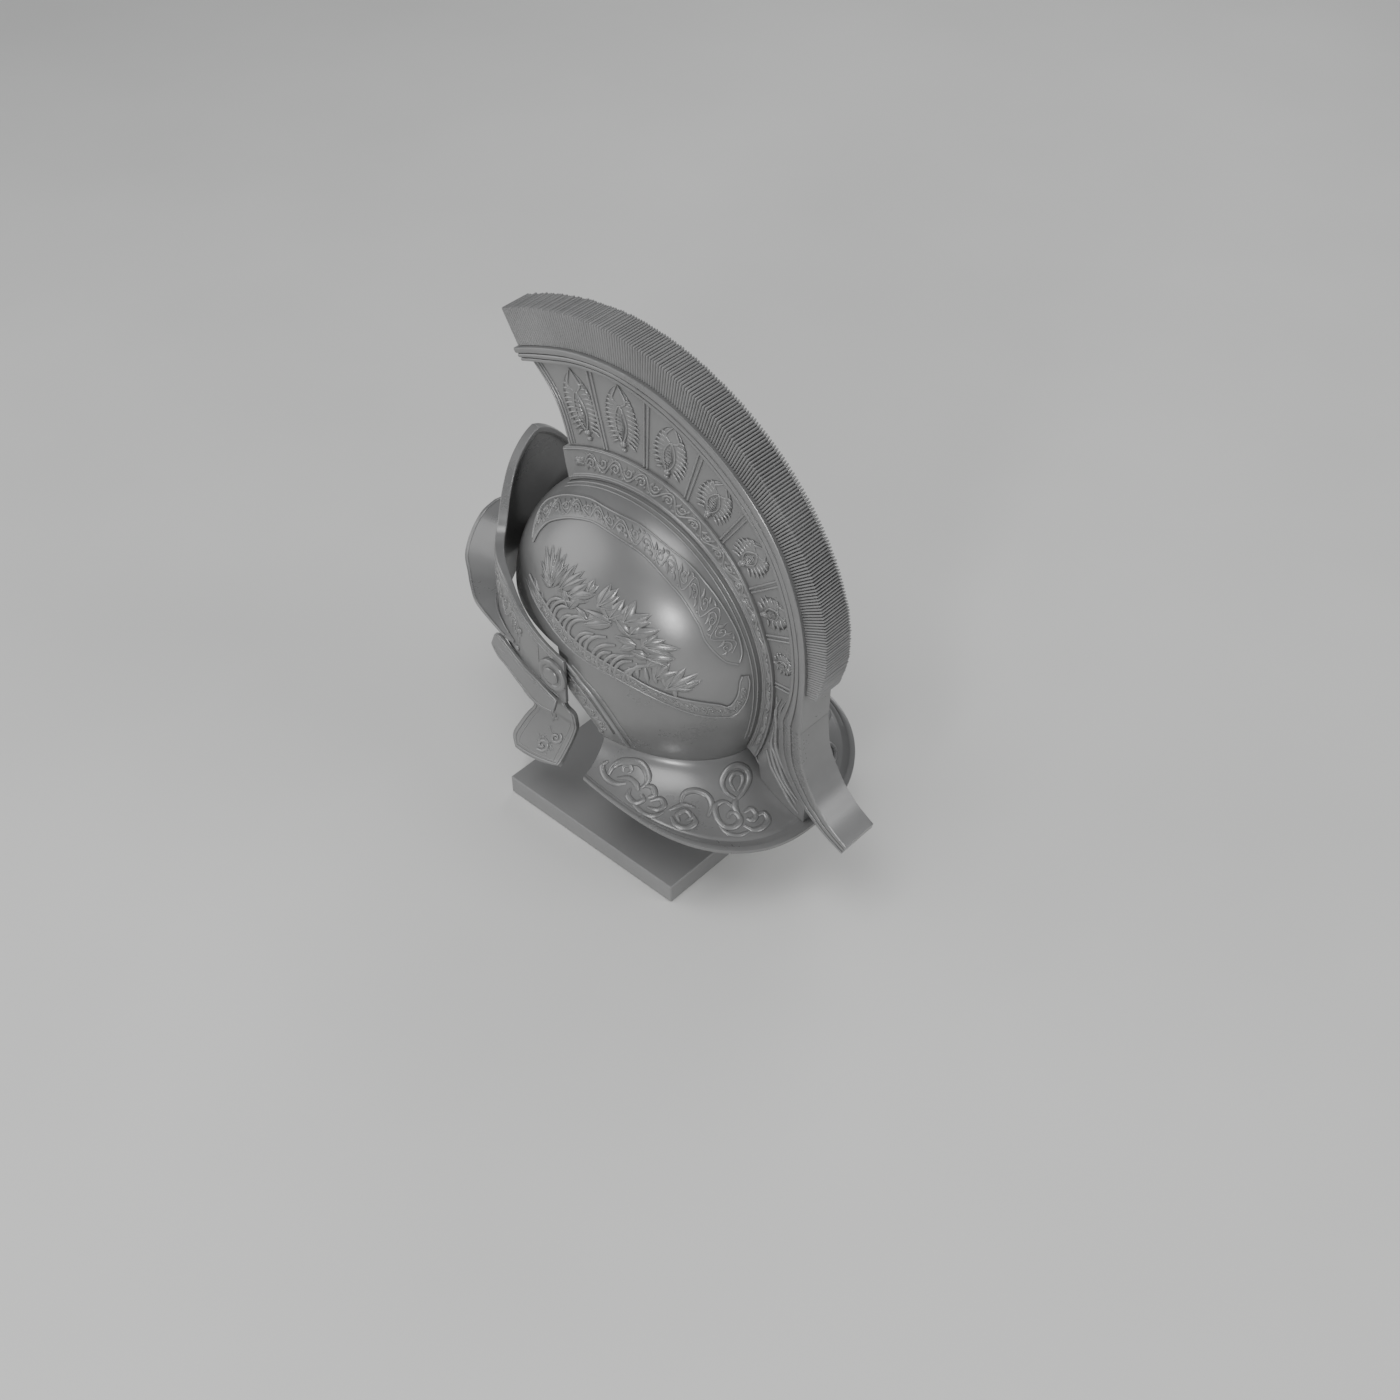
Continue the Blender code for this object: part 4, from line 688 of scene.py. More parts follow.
class Tree:
    """A geometry tree with named inputs, and one method that adds a node."""

    def __init__(self, name, sizes):
        self.tree = bpy.data.node_groups.new(name, "GeometryNodeTree")
        self.ids = {}
        self.tree.interface.new_socket("Geometry", in_out="INPUT", socket_type="NodeSocketGeometry")
        for label, (kind, default) in sizes.items():
            socket = self.tree.interface.new_socket(label, in_out="INPUT", socket_type=f"NodeSocket{kind}")
            self.ids[label] = socket.identifier
            if default is not None:
                socket.default_value = default
        self.tree.interface.new_socket("Geometry", in_out="OUTPUT", socket_type="NodeSocketGeometry")
        self.given = self.tree.nodes.new("NodeGroupInput").outputs

    def node(self, kind, inputs=(), output=0, **settings):
        node = self.tree.nodes.new(kind)
        for key, value in settings.items():
            setattr(node, key, value)
        for key, value in dict(inputs).items():
            if isinstance(value, bpy.types.NodeSocket):
                self.tree.links.new(value, node.inputs[key])
            else:
                node.inputs[key].default_value = value
        return node.outputs[output]

    def attribute(self, name, kind="FLOAT"):
        return self.node("GeometryNodeInputNamedAttribute", {"Name": name}, data_type=kind)

    def end(self, geometry):
        realized = self.node("GeometryNodeRealizeInstances", {"Geometry": geometry})
        dressed = self.node("GeometryNodeSetMaterial",
                            {"Geometry": realized, "Material": self.given["Material"]})
        out = self.tree.nodes.new("NodeGroupOutput")
        self.tree.links.new(dressed, out.inputs["Geometry"])

    def run(self, obj, values):
        """The tree's result on an object, as a plain mesh."""
        modifier = obj.modifiers.new(self.tree.name, "NODES")
        modifier.node_group = self.tree
        for label, value in values.items():
            modifier[self.ids[label]] = value
        return apply_modifiers(obj, obj.name)


def raised_work_tree():
    """Sweeps a rounded rib along each path, as wide and as high as the path says at each point."""
    tree = Tree("Raised work", {"Sides": ("Int", 8), "Material": ("Material", None)})
    up, half = tree.attribute("face_way", "FLOAT_VECTOR"), tree.attribute("half_width")
    curve = tree.node("GeometryNodeMeshToCurve", {"Mesh": tree.given["Geometry"]})
    curve = tree.node("GeometryNodeSetCurveNormal", {"Curve": curve, "Normal": up}, mode="FREE")
    circle = tree.node("GeometryNodeCurvePrimitiveCircle", {"Resolution": tree.given["Sides"], "Radius": 1.0})
    mesh = tree.node("GeometryNodeCurveToMesh",
                     {"Curve": curve, "Profile Curve": circle, "Scale": half, "Fill Caps": True})
    here = tree.node("GeometryNodeInputPosition")
    from_path = tree.node("ShaderNodeVectorMath", {0: here, 1: tree.attribute("centre", "FLOAT_VECTOR")},
                          operation="SUBTRACT")
    height = tree.node("ShaderNodeVectorMath", {0: from_path, 1: up}, output=1, operation="DOT_PRODUCT")
    stretch = tree.node("ShaderNodeMath", {0: tree.attribute("rise"), 1: 1.0}, operation="SUBTRACT")
    move = tree.node("ShaderNodeMath", {0: height, 1: stretch}, operation="MULTIPLY")
    offset = tree.node("ShaderNodeVectorMath", {0: up, "Scale": move}, operation="SCALE")
    mesh = tree.node("GeometryNodeSetPosition", {"Geometry": mesh, "Offset": offset})
    # The share of height on each rib, which the metal uses to paint the relief tops lighter (rubbed wear and
    # painted shade in the hollows).
    share = tree.node("ShaderNodeMath", {0: height, 1: half}, operation="DIVIDE")
    mesh = tree.node("GeometryNodeStoreNamedAttribute", {"Geometry": mesh, "Name": "high", "Value": share},
                     data_type="FLOAT", domain="POINT")
    smooth_faces = tree.node("GeometryNodeSetShadeSmooth", {"Geometry": mesh})
    tree.end(smooth_faces)
    return tree


def placed_parts_tree():
    """Sets one small part on every point, stood on the surface and grown as the point says."""
    tree = Tree("Placed parts", {"Part": ("Object", None), "Spread": ("Float", 0.0), "Seed": ("Int", 1),
                                 "Material": ("Material", None)})
    part = tree.node("GeometryNodeObjectInfo", {"Object": tree.given["Part"]}, output="Geometry",
                     transform_space="ORIGINAL")
    turn = tree.node("FunctionNodeAxesToRotation", {"Primary Axis": tree.attribute("face_way",
                                                                                   "FLOAT_VECTOR"),
                                                    "Secondary Axis": tree.attribute("along_way",
                                                                                     "FLOAT_VECTOR")},
                     primary_axis="Z", secondary_axis="Y")
    low = tree.node("ShaderNodeMath", {0: 1.0, 1: tree.given["Spread"]}, operation="SUBTRACT")
    change = tree.node("FunctionNodeRandomValue", {2: low, 3: 1.0, 8: tree.given["Seed"]},
                       output=1, data_type="FLOAT")
    tall = tree.node("ShaderNodeMath", {0: tree.attribute("tall"), 1: change}, operation="MULTIPLY")
    size = tree.node("ShaderNodeCombineXYZ", {0: tree.attribute("wide"), 1: tree.attribute("thick"), 2: tall})
    points = tree.node("GeometryNodeMeshToPoints", {"Mesh": tree.given["Geometry"]})
    parts = tree.node("GeometryNodeInstanceOnPoints", {"Points": points, "Instance": part, "Rotation": turn,
                                                       "Scale": size})
    tree.end(parts)
    return tree


class RaisedWork:
    """Paths of cast relief gathered for one piece, in metres."""

    def __init__(self):
        self.points = []
        self.edges = []
        self.rows = {"face_way": [], "half_width": [], "rise": [], "centre": []}

    def rib(self, place, path, widths, rise=0.7, count=None, lift=0.0):
        """A rib along (u, v) points that place() puts on a surface; widths in mm, read along it."""
        count = count or max(3 * len(path), 6)
        spots = smooth(path, count)
        wide = np.interp(np.linspace(0, 1, count), np.linspace(0, 1, len(widths)), widths) * MM
        start = len(self.points)
        for (u, v), half in zip(spots, wide):
            point, normal = place(u, v, lift)
            self.points.append(tuple(point))
            for key, value in (("face_way", normal), ("half_width", max(half, 0.05 * MM)), ("rise", rise),
                               ("centre", point)):
                self.rows[key].append(value)
        self.edges += [(start + i, start + i + 1) for i in range(count - 1)]

    def turned_over(self):
        """The same relief on the other side of the middle plane."""
        turn = np.array((-1.0, 1.0, 1.0))
        self.points = [(-x, y, z) for x, y, z in self.points]
        for key in ("face_way", "centre"):
            self.rows[key] = [v * turn for v in self.rows[key]]

    def both_sides(self):
        count = len(self.points)
        turn = np.array((-1.0, 1.0, 1.0))
        self.points += [(-x, y, z) for x, y, z in self.points]
        self.edges += [(a + count, b + count) for a, b in self.edges]
        for key, values in self.rows.items():
            self.rows[key] = values + ([v * turn for v in values] if key in ("face_way",
                                                                             "centre") else values)
        return self

    def finish(self, name, tree, material, sides=8):
        mesh = bpy.data.meshes.new(name)
        mesh.from_pydata(self.points, self.edges, [])
        for key, values in self.rows.items():
            kind = "FLOAT_VECTOR" if key in ("face_way", "centre") else "FLOAT"
            field = mesh.attributes.new(key, kind, "POINT")
            field.data.foreach_set("vector" if kind == "FLOAT_VECTOR" else "value",
                                   np.array(values, np.float32).ravel())
        obj = bpy.data.objects.new(name, mesh)
        bpy.context.scene.collection.objects.link(obj)
        return tree.run(obj, {"Sides": sides, "Material": material})


def place_parts(name, part, rows, tree, material, spread=0.0, seed=1):
    """Copies of a part on (point, outward way, way along, wide, thick, tall) rows."""
    mesh = bpy.data.meshes.new(name)
    mesh.from_pydata([tuple(row[0]) for row in rows], [], [])
    for k, key in ((1, "face_way"), (2, "along_way")):
        field = mesh.attributes.new(key, "FLOAT_VECTOR", "POINT")
        field.data.foreach_set("vector", np.array([row[k] for row in rows], np.float32).ravel())
    for k, key in ((3, "wide"), (4, "thick"), (5, "tall")):
        field = mesh.attributes.new(key, "FLOAT", "POINT")
        field.data.foreach_set("value", np.array([row[k] for row in rows], np.float32))
    obj = bpy.data.objects.new(name, mesh)
    bpy.context.scene.collection.objects.link(obj)
    tree.run(obj, {"Part": part, "Spread": spread, "Seed": seed, "Material": material})
    bpy.data.objects.remove(part, do_unlink=True)
    return obj


# Ornament, drawn flat in mm and laid on a surface by place()

def patch(surface, u, v, step_u, step_v, turn=0.0):
    """Lays mm drawings on a surface round one spot; the steps give the ways of x and y and its scale."""
    here = surface(u, v)[0]
    per_u = step_u * MM / float(np.linalg.norm(surface(u + step_u, v)[0] - here))
    per_v = step_v * MM / float(np.linalg.norm(surface(u, v + step_v)[0] - here))
    c, s = math.cos(math.radians(turn)), math.sin(math.radians(turn))
    def place(x, y, out=0.0):
        return surface(u + (x * c - y * s) * per_u, v + (x * s + y * c) * per_v, out)
    return place


def spiral(centre, radius, start, turns, hand=1, end=0.22):
    """Points of a scroll that curls in from a start angle in degrees."""
    pts = []
    for t in np.linspace(0, 1, max(int(10 * turns), 8)):
        a = math.radians(start + hand * 360 * turns * t)
        r = radius * (1 - (1 - end) * t ** 0.85)
        pts.append((centre[0] + r * math.cos(a), centre[1] + r * math.sin(a)))
    return pts


def leaf(work, place, root, tip, bend, half, rise=0.55, vein=True):
    """A pointed leaf with a raised vein."""
    root, tip = np.array(root, float), np.array(tip, float)
    side = np.array((-(tip - root)[1], (tip - root)[0]))
    path = [root + (tip - root) * t + side * bend * math.sin(math.pi * t) for t in (0, 0.3, 0.6, 1)]
    work.rib(place, path, (0.35 * half, 0.8 * half, half, 0.92 * half, 0.6 * half, 0.05 * half), rise,
             count=11)
    if vein:
        work.rib(place, path, (0.1 * half, 0.14 * half, 0.1 * half, 0.05), 1.2, count=9,
                 lift=half * rise * 0.85 * MM)


def frond(work, place, root, tip, bend, half, lobes=3, rise=0.5):
    """A leaf with lobed sides that turn outwards."""
    root, tip = np.array(root, float), np.array(tip, float)
    way = tip - root
    side = np.array((-way[1], way[0]))
    leaf(work, place, root, tip, bend, half * 0.62, rise)
    for k in range(lobes):
        t = 0.12 + 0.62 * k / max(lobes - 1, 1)
        foot = root + way * t + side * bend * math.sin(math.pi * t)
        reach = float(np.linalg.norm(way)) * (0.34 - 0.07 * k)
        for hand in (-1, 1):
            out = unit(unit(way) * 0.75 + unit(side) * hand)
            leaf(work, place, foot, foot + out * max(reach, half * 0.8), 0.14 * hand, half * 0.42, rise,
                 vein=False)


def scrollwork(work, place, length, half, step, stem=0.8, leaves=True):
    """A running scroll that fills a band: a waved stem, a curl in each wave and leaves between them."""
    count = max(int(round(length / step)), 1)
    step = length / count
    for k in range(count):
        hand = 1 if k % 2 == 0 else -1
        x = k * step
        wave = [(x + step * t, hand * half * 0.82 * math.sin(math.pi * t)) for t in np.linspace(0, 1, 7)]
        work.rib(place, wave, (stem, stem * 0.9, stem), 0.9, count=12)
        curl = spiral((x + step * 0.52, hand * -0.12 * half), half * 0.62, 180, 1.25, -hand)
        work.rib(place, curl, (stem, stem * 0.9, stem * 0.7), 0.95, count=18)
        bead = (x + step * 0.52, hand * -0.12 * half)
        work.rib(place, [(bead[0] - 0.8, bead[1]), (bead[0] + 0.8, bead[1])], (0.5, 1.5, 1.5, 0.5), 0.8,
                 count=6)
        if leaves:
            leaf(work, place, (x + step * 0.04, 0), (x + step * 0.24, -hand * half * 0.86), 0.2 * hand,
                 half * 0.2)
            leaf(work, place, (x + step * 0.3, hand * half * 0.66), (x - step * 0.02, hand * half * 0.84),
                 -0.15 * hand,
                 half * 0.16)
            leaf(work, place, (x + step * 0.72, -hand * half * 0.3), (x + step * 0.8, -hand * half * 0.88),
                 0.2 * hand,
                 half * 0.18)


# Materials

class Wire:
    """A socket of a shader tree that takes part in sums as a number does."""

    def __init__(self, tree, socket=None):
        self.tree = tree
        self.socket = socket

    def node(self, kind, inputs=(), output=0, stops=None, **settings):
        """A node of a type with its settings, ramp stops and the values or links of its sockets."""
        node = self.tree.nodes.new(kind)
        for key, value in settings.items():
            setattr(node, key, value)
        for k, (where, colour) in enumerate(stops or ()):
            ramp = node.color_ramp.elements
            stop = ramp[k] if k < len(ramp) else ramp.new(where)
            stop.position = where
            stop.color = colour
        for key, value in dict(inputs).items():
            if isinstance(value, Wire):
                self.tree.links.new(value.socket, node.inputs[key])
            else:
                node.inputs[key].default_value = value
        return Wire(self.tree, node.outputs[output])

    def maths(self, operation, one, two):
        return self.node("ShaderNodeMath", {0: one, 1: two}, operation=operation)

    def __add__(self, other):
        return self.maths("ADD", self, other)

    def __sub__(self, other):
        return self.maths("SUBTRACT", self, other)

    def __rsub__(self, other):
        return self.maths("SUBTRACT", other, self)

    def __mul__(self, other):
        return self.maths("MULTIPLY", self, other)

    __radd__ = __add__
    __rmul__ = __mul__

    def between(self, low, high, to_low=0.0, to_high=1.0):
        return self.node("ShaderNodeMapRange", {"Value": self, "From Min": low, "From Max": high,
                                                "To Min": to_low,
                                                "To Max": to_high})

    def mix(self, one, two):
        """Colour one where this is 0 and colour two where it is 1."""
        return self.node("ShaderNodeMix", {0: self, 6: one, 7: two}, output=2, data_type="RGBA")


def new_material(name):
    mat = bpy.data.materials.new(name)
    mat.use_nodes = True
    return mat, mat.node_tree.nodes["Principled BSDF"], Wire(mat.node_tree)


def feed(shader, socket, wire):
    wire.tree.links.new(wire.socket, shader.inputs[socket])


def noise(wire, place, scale, detail=3.0, roughness=0.5):
    return wire.node("ShaderNodeTexNoise", {"Vector": place, "Scale": scale, "Detail": detail,
                                            "Roughness": roughness}, output=0)


def shade(colour, factor):
    return (colour[0] * factor, colour[1] * factor, colour[2] * factor, 1.0)


def cast_metal(name, colour, gloss, wear):
    """Satin cast metal: the relief's raised tops painted lighter, partly as rubbed wear and partly as painted
    shade that leaves the hollows darker, with random tone and a fine cast skin.
    """
    mat, shader, wire = new_material(name)
    place = wire.node("ShaderNodeTexCoord", output="Object")
    clouds = noise(wire, place, 16.0, 4.0)
    skin = noise(wire, place, 900.0, 2.0)
    pits = noise(wire, place, 260.0, 3.0, 0.6)
    high = wire.node("ShaderNodeAttribute", {}, output="Fac", attribute_name="high")
    # Raised relief tops are lightened, so the hollows between them read darker: partly rubbed wear, partly
    # painted shade.
    rubbed_and_shaded = high.between(0.1, 0.95) * clouds.between(0.3, 0.7, 0.5, 1.0) * wear
    plain = clouds.between(0.32, 0.68).mix(shade(colour, 0.9), shade(colour, 1.06))
    feed(shader, "Base Color", rubbed_and_shaded.mix(plain, shade(colour, 1.5)))
    feed(shader, "Roughness", clouds.between(0.3, 0.7, gloss - 0.03,
                                             gloss + 0.05) + pits * 0.05 - rubbed_and_shaded * 0.06)
    bump = wire.node("ShaderNodeBump", {"Strength": 0.1, "Distance": 0.00022, "Height": skin * 0.35 + pits})
    feed(shader, "Normal", bump)
    shader.inputs["Metallic"].default_value = 0.3
    shader.inputs["Specular IOR Level"].default_value = 0.5
    return mat


def brush_fibre(name, colour, roughness):
    """Cast bristles: fine lighter streaks that run up each lock."""
    mat, shader, wire = new_material(name)
    place = wire.node("ShaderNodeTexCoord", output="Object")
    fine = wire.node("ShaderNodeMapping", {"Vector": place, "Scale": (1900.0, 260.0, 260.0)})
    streaks = noise(wire, fine, 1.0, 3.0, 0.6)
    clouds = noise(wire, place, 26.0, 3.0)
    plain = clouds.between(0.3, 0.7).mix(shade(colour, 0.88), shade(colour, 1.08))
    feed(shader, "Base Color", (streaks.between(0.4, 0.75) * 0.5).mix(plain, shade(colour, 1.4)))
    feed(shader, "Roughness", streaks.between(0.3, 0.7, roughness - 0.05, roughness + 0.08))
    bump = wire.node("ShaderNodeBump", {"Strength": 0.5, "Distance": 0.0004, "Height": streaks})
    feed(shader, "Normal", bump)
    shader.inputs["Metallic"].default_value = 0.2
    return mat


def painted_slab(name, colour, roughness):
    """Satin paint over close-grained board."""
    mat, shader, wire = new_material(name)
    place = wire.node("ShaderNodeTexCoord", output="Object")
    grain_place = wire.node("ShaderNodeMapping", {"Vector": place, "Scale": (14.0, 190.0, 190.0)})
    grain = noise(wire, grain_place, 1.0, 4.0, 0.55)
    clouds = noise(wire, place, 9.0, 3.0)
    feed(shader, "Base Color", clouds.between(0.3, 0.7).mix(shade(colour, 0.94), shade(colour, 1.05)))
    feed(shader, "Roughness", grain.between(0.3, 0.7, roughness - 0.04, roughness + 0.05))
    feed(shader, "Normal", wire.node("ShaderNodeBump",
                                     {"Strength": 0.12, "Distance": 0.0003, "Height": grain}))
    return mat


# Properties

class HelmetSizes(bpy.types.PropertyGroup):
    rib_sides: bpy.props.IntProperty(name="Rib sides", description="Faces round each rib of the relief",
                                     default=8, min=4, max=16)
    stem: bpy.props.FloatProperty(name="Stem", description="Half width of a scroll's stem in millimetres",
                                  default=0.85, min=0.3, max=3.0)
    lock_pitch: bpy.props.FloatProperty(name="Lock pitch", description="Distance between the brush's ridges",
                                        default=2.9 * MM, min=1 * MM, max=10 * MM, unit="LENGTH")
    ragged: bpy.props.FloatProperty(name="Ragged",
                                    description="How unequal the ridges of the brush are in height",
                                    default=0.04, min=0.0, max=0.4, subtype="FACTOR")
    seed: bpy.props.IntProperty(name="Seed", description="Seed of the brush's unequal ridges", default=7,
                                min=0)


class HelmetFinish(bpy.types.PropertyGroup):
    metal: bpy.props.FloatVectorProperty(name="Metal", description="Colour of the cast metal", size=3,
                                         default=(0.19, 0.19, 0.19), min=0, max=1, subtype="COLOR")
    brush: bpy.props.FloatVectorProperty(name="Brush", description="Colour of the brush", size=3,
                                         default=(0.185, 0.185, 0.185), min=0, max=1, subtype="COLOR")
    plinth: bpy.props.FloatVectorProperty(name="Plinth", description="Colour of the plinth", size=3,
                                          default=(0.19, 0.19, 0.19), min=0, max=1, subtype="COLOR")
    floor: bpy.props.FloatVectorProperty(name="Floor", description="Colour of the studio floor", size=3,
                                         default=(0.62, 0.62, 0.61), min=0, max=1, subtype="COLOR")
    gloss: bpy.props.FloatProperty(name="Roughness", description="Roughness of the cast metal", default=0.27,
                                   min=0.05, max=1.0, subtype="FACTOR")
    # How strongly the relief tops are painted lighter: partly rubbed wear, partly painted shade in the hollows.
    wear: bpy.props.FloatProperty(name="Rubbed relief", description="How much brighter the relief is rubbed",
                                  default=0.5, min=0.0, max=1.0, subtype="FACTOR")
    key: bpy.props.FloatProperty(name="Key light", description="Power of the key light", default=22.0,
                                 min=0.0,
                                 unit="POWER")


def sizes():
    return bpy.context.scene.helmet_sizes


def finish():
    return bpy.context.scene.helmet_finish


def material_named(name):
    """The named finish, made on first use."""
    known = bpy.data.materials.get(name)
    if known:
        return known
    look = finish()
    if name == "Cast metal":
        return cast_metal(name, look.metal, look.gloss, look.wear)
    if name == "Cast bristle":
        return brush_fibre(name, look.brush, 0.5)
    if name == "Plinth paint":
        return painted_slab(name, look.plinth, 0.42)
    if name == "Hinge steel":
        return cast_metal(name, look.metal, 0.28, 0.2)
    raise ValueError(f"no finish is called {name}")


def tree_named(name):
    """The named geometry tree, made on first use and kept for the other pieces."""
    if name not in TREES:
        TREES[name] = {"Raised work": raised_work_tree, "Placed parts": placed_parts_tree}[name]()
    return TREES[name]


TREES = {}


def relief(name, work):
    return work.both_sides().finish(name, tree_named("Raised work"), material_named("Cast metal"),
                                    sizes().rib_sides)


def deliver(name, objects, body, nodes):
    """Joins a piece's meshes, and hands it over to its body in place of the hard nodes."""
    piece = join(name, objects) if len(objects) > 1 else objects[0]
    piece.name = piece.data.name = name
    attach(piece, body)
    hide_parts(*nodes)
    return piece


# Bands laid on a surface

def run_along(spots):
    """How far along a line each of its points lies, in mm."""
    return np.concatenate(([0], np.cumsum(np.linalg.norm(np.diff(spots, axis=0), axis=1)))) / MM


def band_place(surface, rows):
    """Lays mm drawings along a band between two borders: x in mm along it, y from -1 to 1 across."""
    table = smooth([row[:4] for row in rows], 90)
    middle = (table[:, :2] + table[:, 2:]) / 2
    spots = np.array([surface(u, v)[0] for u, v in middle])
    run = run_along(spots)
    def place(x, y, out=0.0):
        row = [np.interp(x, run, table[:, k]) for k in range(4)]
        t = 0.5 + 0.5 * y
        return surface(row[2] + (row[0] - row[2]) * t, row[3] + (row[1] - row[3]) * t, out)
    return place, float(run[-1])


def on_band(place, start, wide, x, y, out=0.0):
    """The spot on a raised band for a drawing that starts some way along it."""
    return place(x + start, y / wide, out + BAND_RISE)


def raised_band(shape, surface, rows):
    """A broad raised band with rounded edges between two borders."""
    rise, root = BAND_RISE, -1.2 * MM
    section = ((0.0, root), (0.0, rise * 0.45), (0.025, rise * 0.85), (0.06, rise), (0.3, rise), (0.5, rise),
               (0.7, rise), (0.94, rise), (0.975, rise * 0.85), (1.0, rise * 0.45), (1.0, root))
    rings = []
    for row in smooth(rows, 80):
        rings.append([surface(row[0] + (row[2] - row[0]) * t, row[1] + (row[3] - row[1]) * t, out)[0]
                      for t, out in section])
    shape.loft(rings)


def borders(work, surface, rows, width, rise, lift, inset=0.0):
    """Ribs along both borders of a band."""
    table = np.array([row[:4] for row in rows])
    high, low = table[:, :2], table[:, 2:]
    for one, two in ((high, low), (low, high)):
        work.rib(surface, one + (two - one) * inset, (width, width), rise, count=90, lift=lift)


def bowl_shell(shape):
    """The bowl's wall, open below and at the face."""
    edge = []
    for behind, above in FACE_EDGE:
        lift = math.degrees(math.asin(above * MM / (BOWL_RISE if above > 0 else BOWL_TAPER)))
        ring = (BOWL_FRONT if behind < 0 else BOWL_BACK) * math.cos(math.radians(lift))
        edge.append((math.degrees(math.acos(-behind * MM / ring)), lift))
    crease = -math.degrees(math.asin(BOWL_DEPTH / BOWL_TAPER))
    edge = [(0.0, edge[0][1])] + edge[:-1] + [(edge[-1][0], crease), (180.0, crease)]
    sides = sorted(set(np.round(np.concatenate((np.arange(0, 46, 3), np.arange(48, 78, 2),
                                                np.arange(78, 100, 0.7),
                                                np.arange(100, 181, 2), [a for a, _ in edge])), 3)))
    outer, inner = [], []
    for hand in (1, -1):
        for side in (sides if hand > 0 else sides[-2:0:-1]):
            low = np.interp(side, [a for a, _ in edge], [e for _, e in edge])
            column, back = [], []
            for t in np.linspace(0, 1, 34):
                point, normal = bowl_at(side, low + (90 - low) * t)
                flip = np.array((hand, 1.0, 1.0))
                column.append(point * flip)
                back.append((point - normal * BOWL_WALL) * flip)
            outer.append(column)
            inner.append(back[::-1])
    shape.grid([a + b for a, b in zip(outer, inner)], close_rows=True, close_columns=True)


# Operators

class HELMET_OT_bowl(bpy.types.Operator):
    """Builds the bowl with its scroll bands, leaf spray and ear rims"""
    bl_idname = "helmet.bowl"
    bl_label = "Bowl"

    def execute(self, context):
        metal = material_named("Cast metal")
        shell, bands, work = Shape(), Shape(), RaisedWork()
        bowl_shell(shell)
        for rows, half, step, stem in ((SCROLL_BAND, 0.8, 14.0, sizes().stem), (LOW_BAND, 0.72, 7.0, 0.7)):
            raised_band(bands, bowl_at, rows)
            borders(work, bowl_at, rows, 1.0, 1.1, BAND_RISE - 0.3 * MM, 0.02)
            place, length = band_place(bowl_at, rows)
            wide = 11.0 if rows is SCROLL_BAND else 5.6
            scrollwork(work, partial(on_band, place, 12.0, wide), length - 24, wide * half, step, stem=stem,
                       leaves=rows is SCROLL_BAND)
        self.spray(work)
        work.rib(bowl_at, EAR_RIM, (2.5, 2.9, 2.5), 0.95, count=30)
        work.rib(bowl_at, [(side + 3.4, lift + 1.1) for side, lift in EAR_RIM], (0.9, 1.1, 0.9), 0.9,
                 count=30)
        raised_band(bands, bowl_at, EAR_PANEL)
        borders(work, bowl_at, EAR_PANEL, 0.7, 0.9, BAND_RISE, 0.04)
        place, length = band_place(bowl_at, EAR_PANEL)
        scrollwork(work, partial(on_band, place, 4.0, 6.0), length - 6, 4.4, 7.0, stem=0.8, leaves=False)
        for x, half in ((16.4, 0.9), (20.5, 0.8)):
            work.rib(crown_at, [(a, x * MM) for a in np.linspace(52, 205, 30)], (half, half), 0.8, count=140)
        pieces = [shell.finish("bowl shell", metal, 50), bands.both_sides().finish("bowl bands", metal, 50),
                  relief("bowl relief", work)]
        deliver("bowl_dressed", pieces, "base", ["bowl"])
        return {"FINISHED"}

    def spray(self, work):
        """Jagged leaves above, and bent stems and buds that rise to them out of the low band."""
        for k, foot in enumerate(smooth(STEM_FEET, 16)):
            tall, sway = 0.92 + 0.16 * math.sin(1.7 * k), 1.1 * math.sin(2.3 * k)
            path = [foot + np.array((bend * tall + sway * rise / 10, rise * tall)) for bend,
                    rise in STEM_BENDS]
            work.rib(bowl_at, path, (1.3, 1.9, 2.0, 2.2, 2.1, 1.2), 1.0, count=22)
        for one, two in BUDS:
            work.rib(bowl_at, (one, ((one[0] + two[0]) / 2, (one[1] + two[1]) / 2), two),
                     (0.7, 2.4, 2.6, 0.9), 0.7,
                     count=12)
        for root, half, tips in SPRAY:
            for tip in tips:
                leaf(work, bowl_at, root, tip, 0.0, 1.75 * half, 0.38)


class HELMET_OT_neck_guard(bpy.types.Operator):
    """Builds the neck guard with its beaded rim and three scroll groups on each side"""
    bl_idname = "helmet.neck_guard"
    bl_label = "Neck guard"

    def execute(self, context):
        metal = material_named("Cast metal")
        shell, work = Shape(), RaisedWork()
        upper = [(v, 0.0) for v in np.linspace(0, 0.86, 16)] + [
            (0.885, 0.0), (0.893, -0.5), (0.905, -0.5), (0.913, 0.0), (0.945, 0.0), (0.952, 0.6),
            (0.962, 0.85),
            (0.985, 0.85), (1.0, 0.5)]
        rings = []
        for hand, shares in ((1, np.linspace(0, 1, 50)), (-1, np.linspace(1, 0, 50)[1:])):
            for share in shares:
                ring = [neck_at(share, v, rise * MM)[0] for v, rise in upper]
                ring += [neck_at(share, v, -NECK_WALL)[0] for v in np.linspace(1.0, 0.0, 14)]
                rings.append([p * np.array((hand, 1.0, 1.0)) for p in ring])
        shell.loft(rings)
        for half, path in NECK_CURLS:
            work.rib(neck_at, path, (0.7 * half, 1.45 * half, 1.5 * half, 1.45 * half, 0.7 * half), 0.45,
                     count=6 * len(path))
            work.rib(neck_at, path, (0.1, 0.2 * half, 0.2 * half, 0.1), 0.9, count=6 * len(path),
                     lift=0.6 * half * MM)
        strip = [(0.985, v) for v in np.linspace(0.02, 0.86, 6)]
        work.rib(neck_at, strip, (1.5, 1.5), 0.8, count=16)
        pieces = [shell.finish("neck shell", metal, 40), relief("neck relief", work)]
        deliver("neck_guard_dressed", pieces, "base", ["neck_guard"])
        return {"FINISHED"}


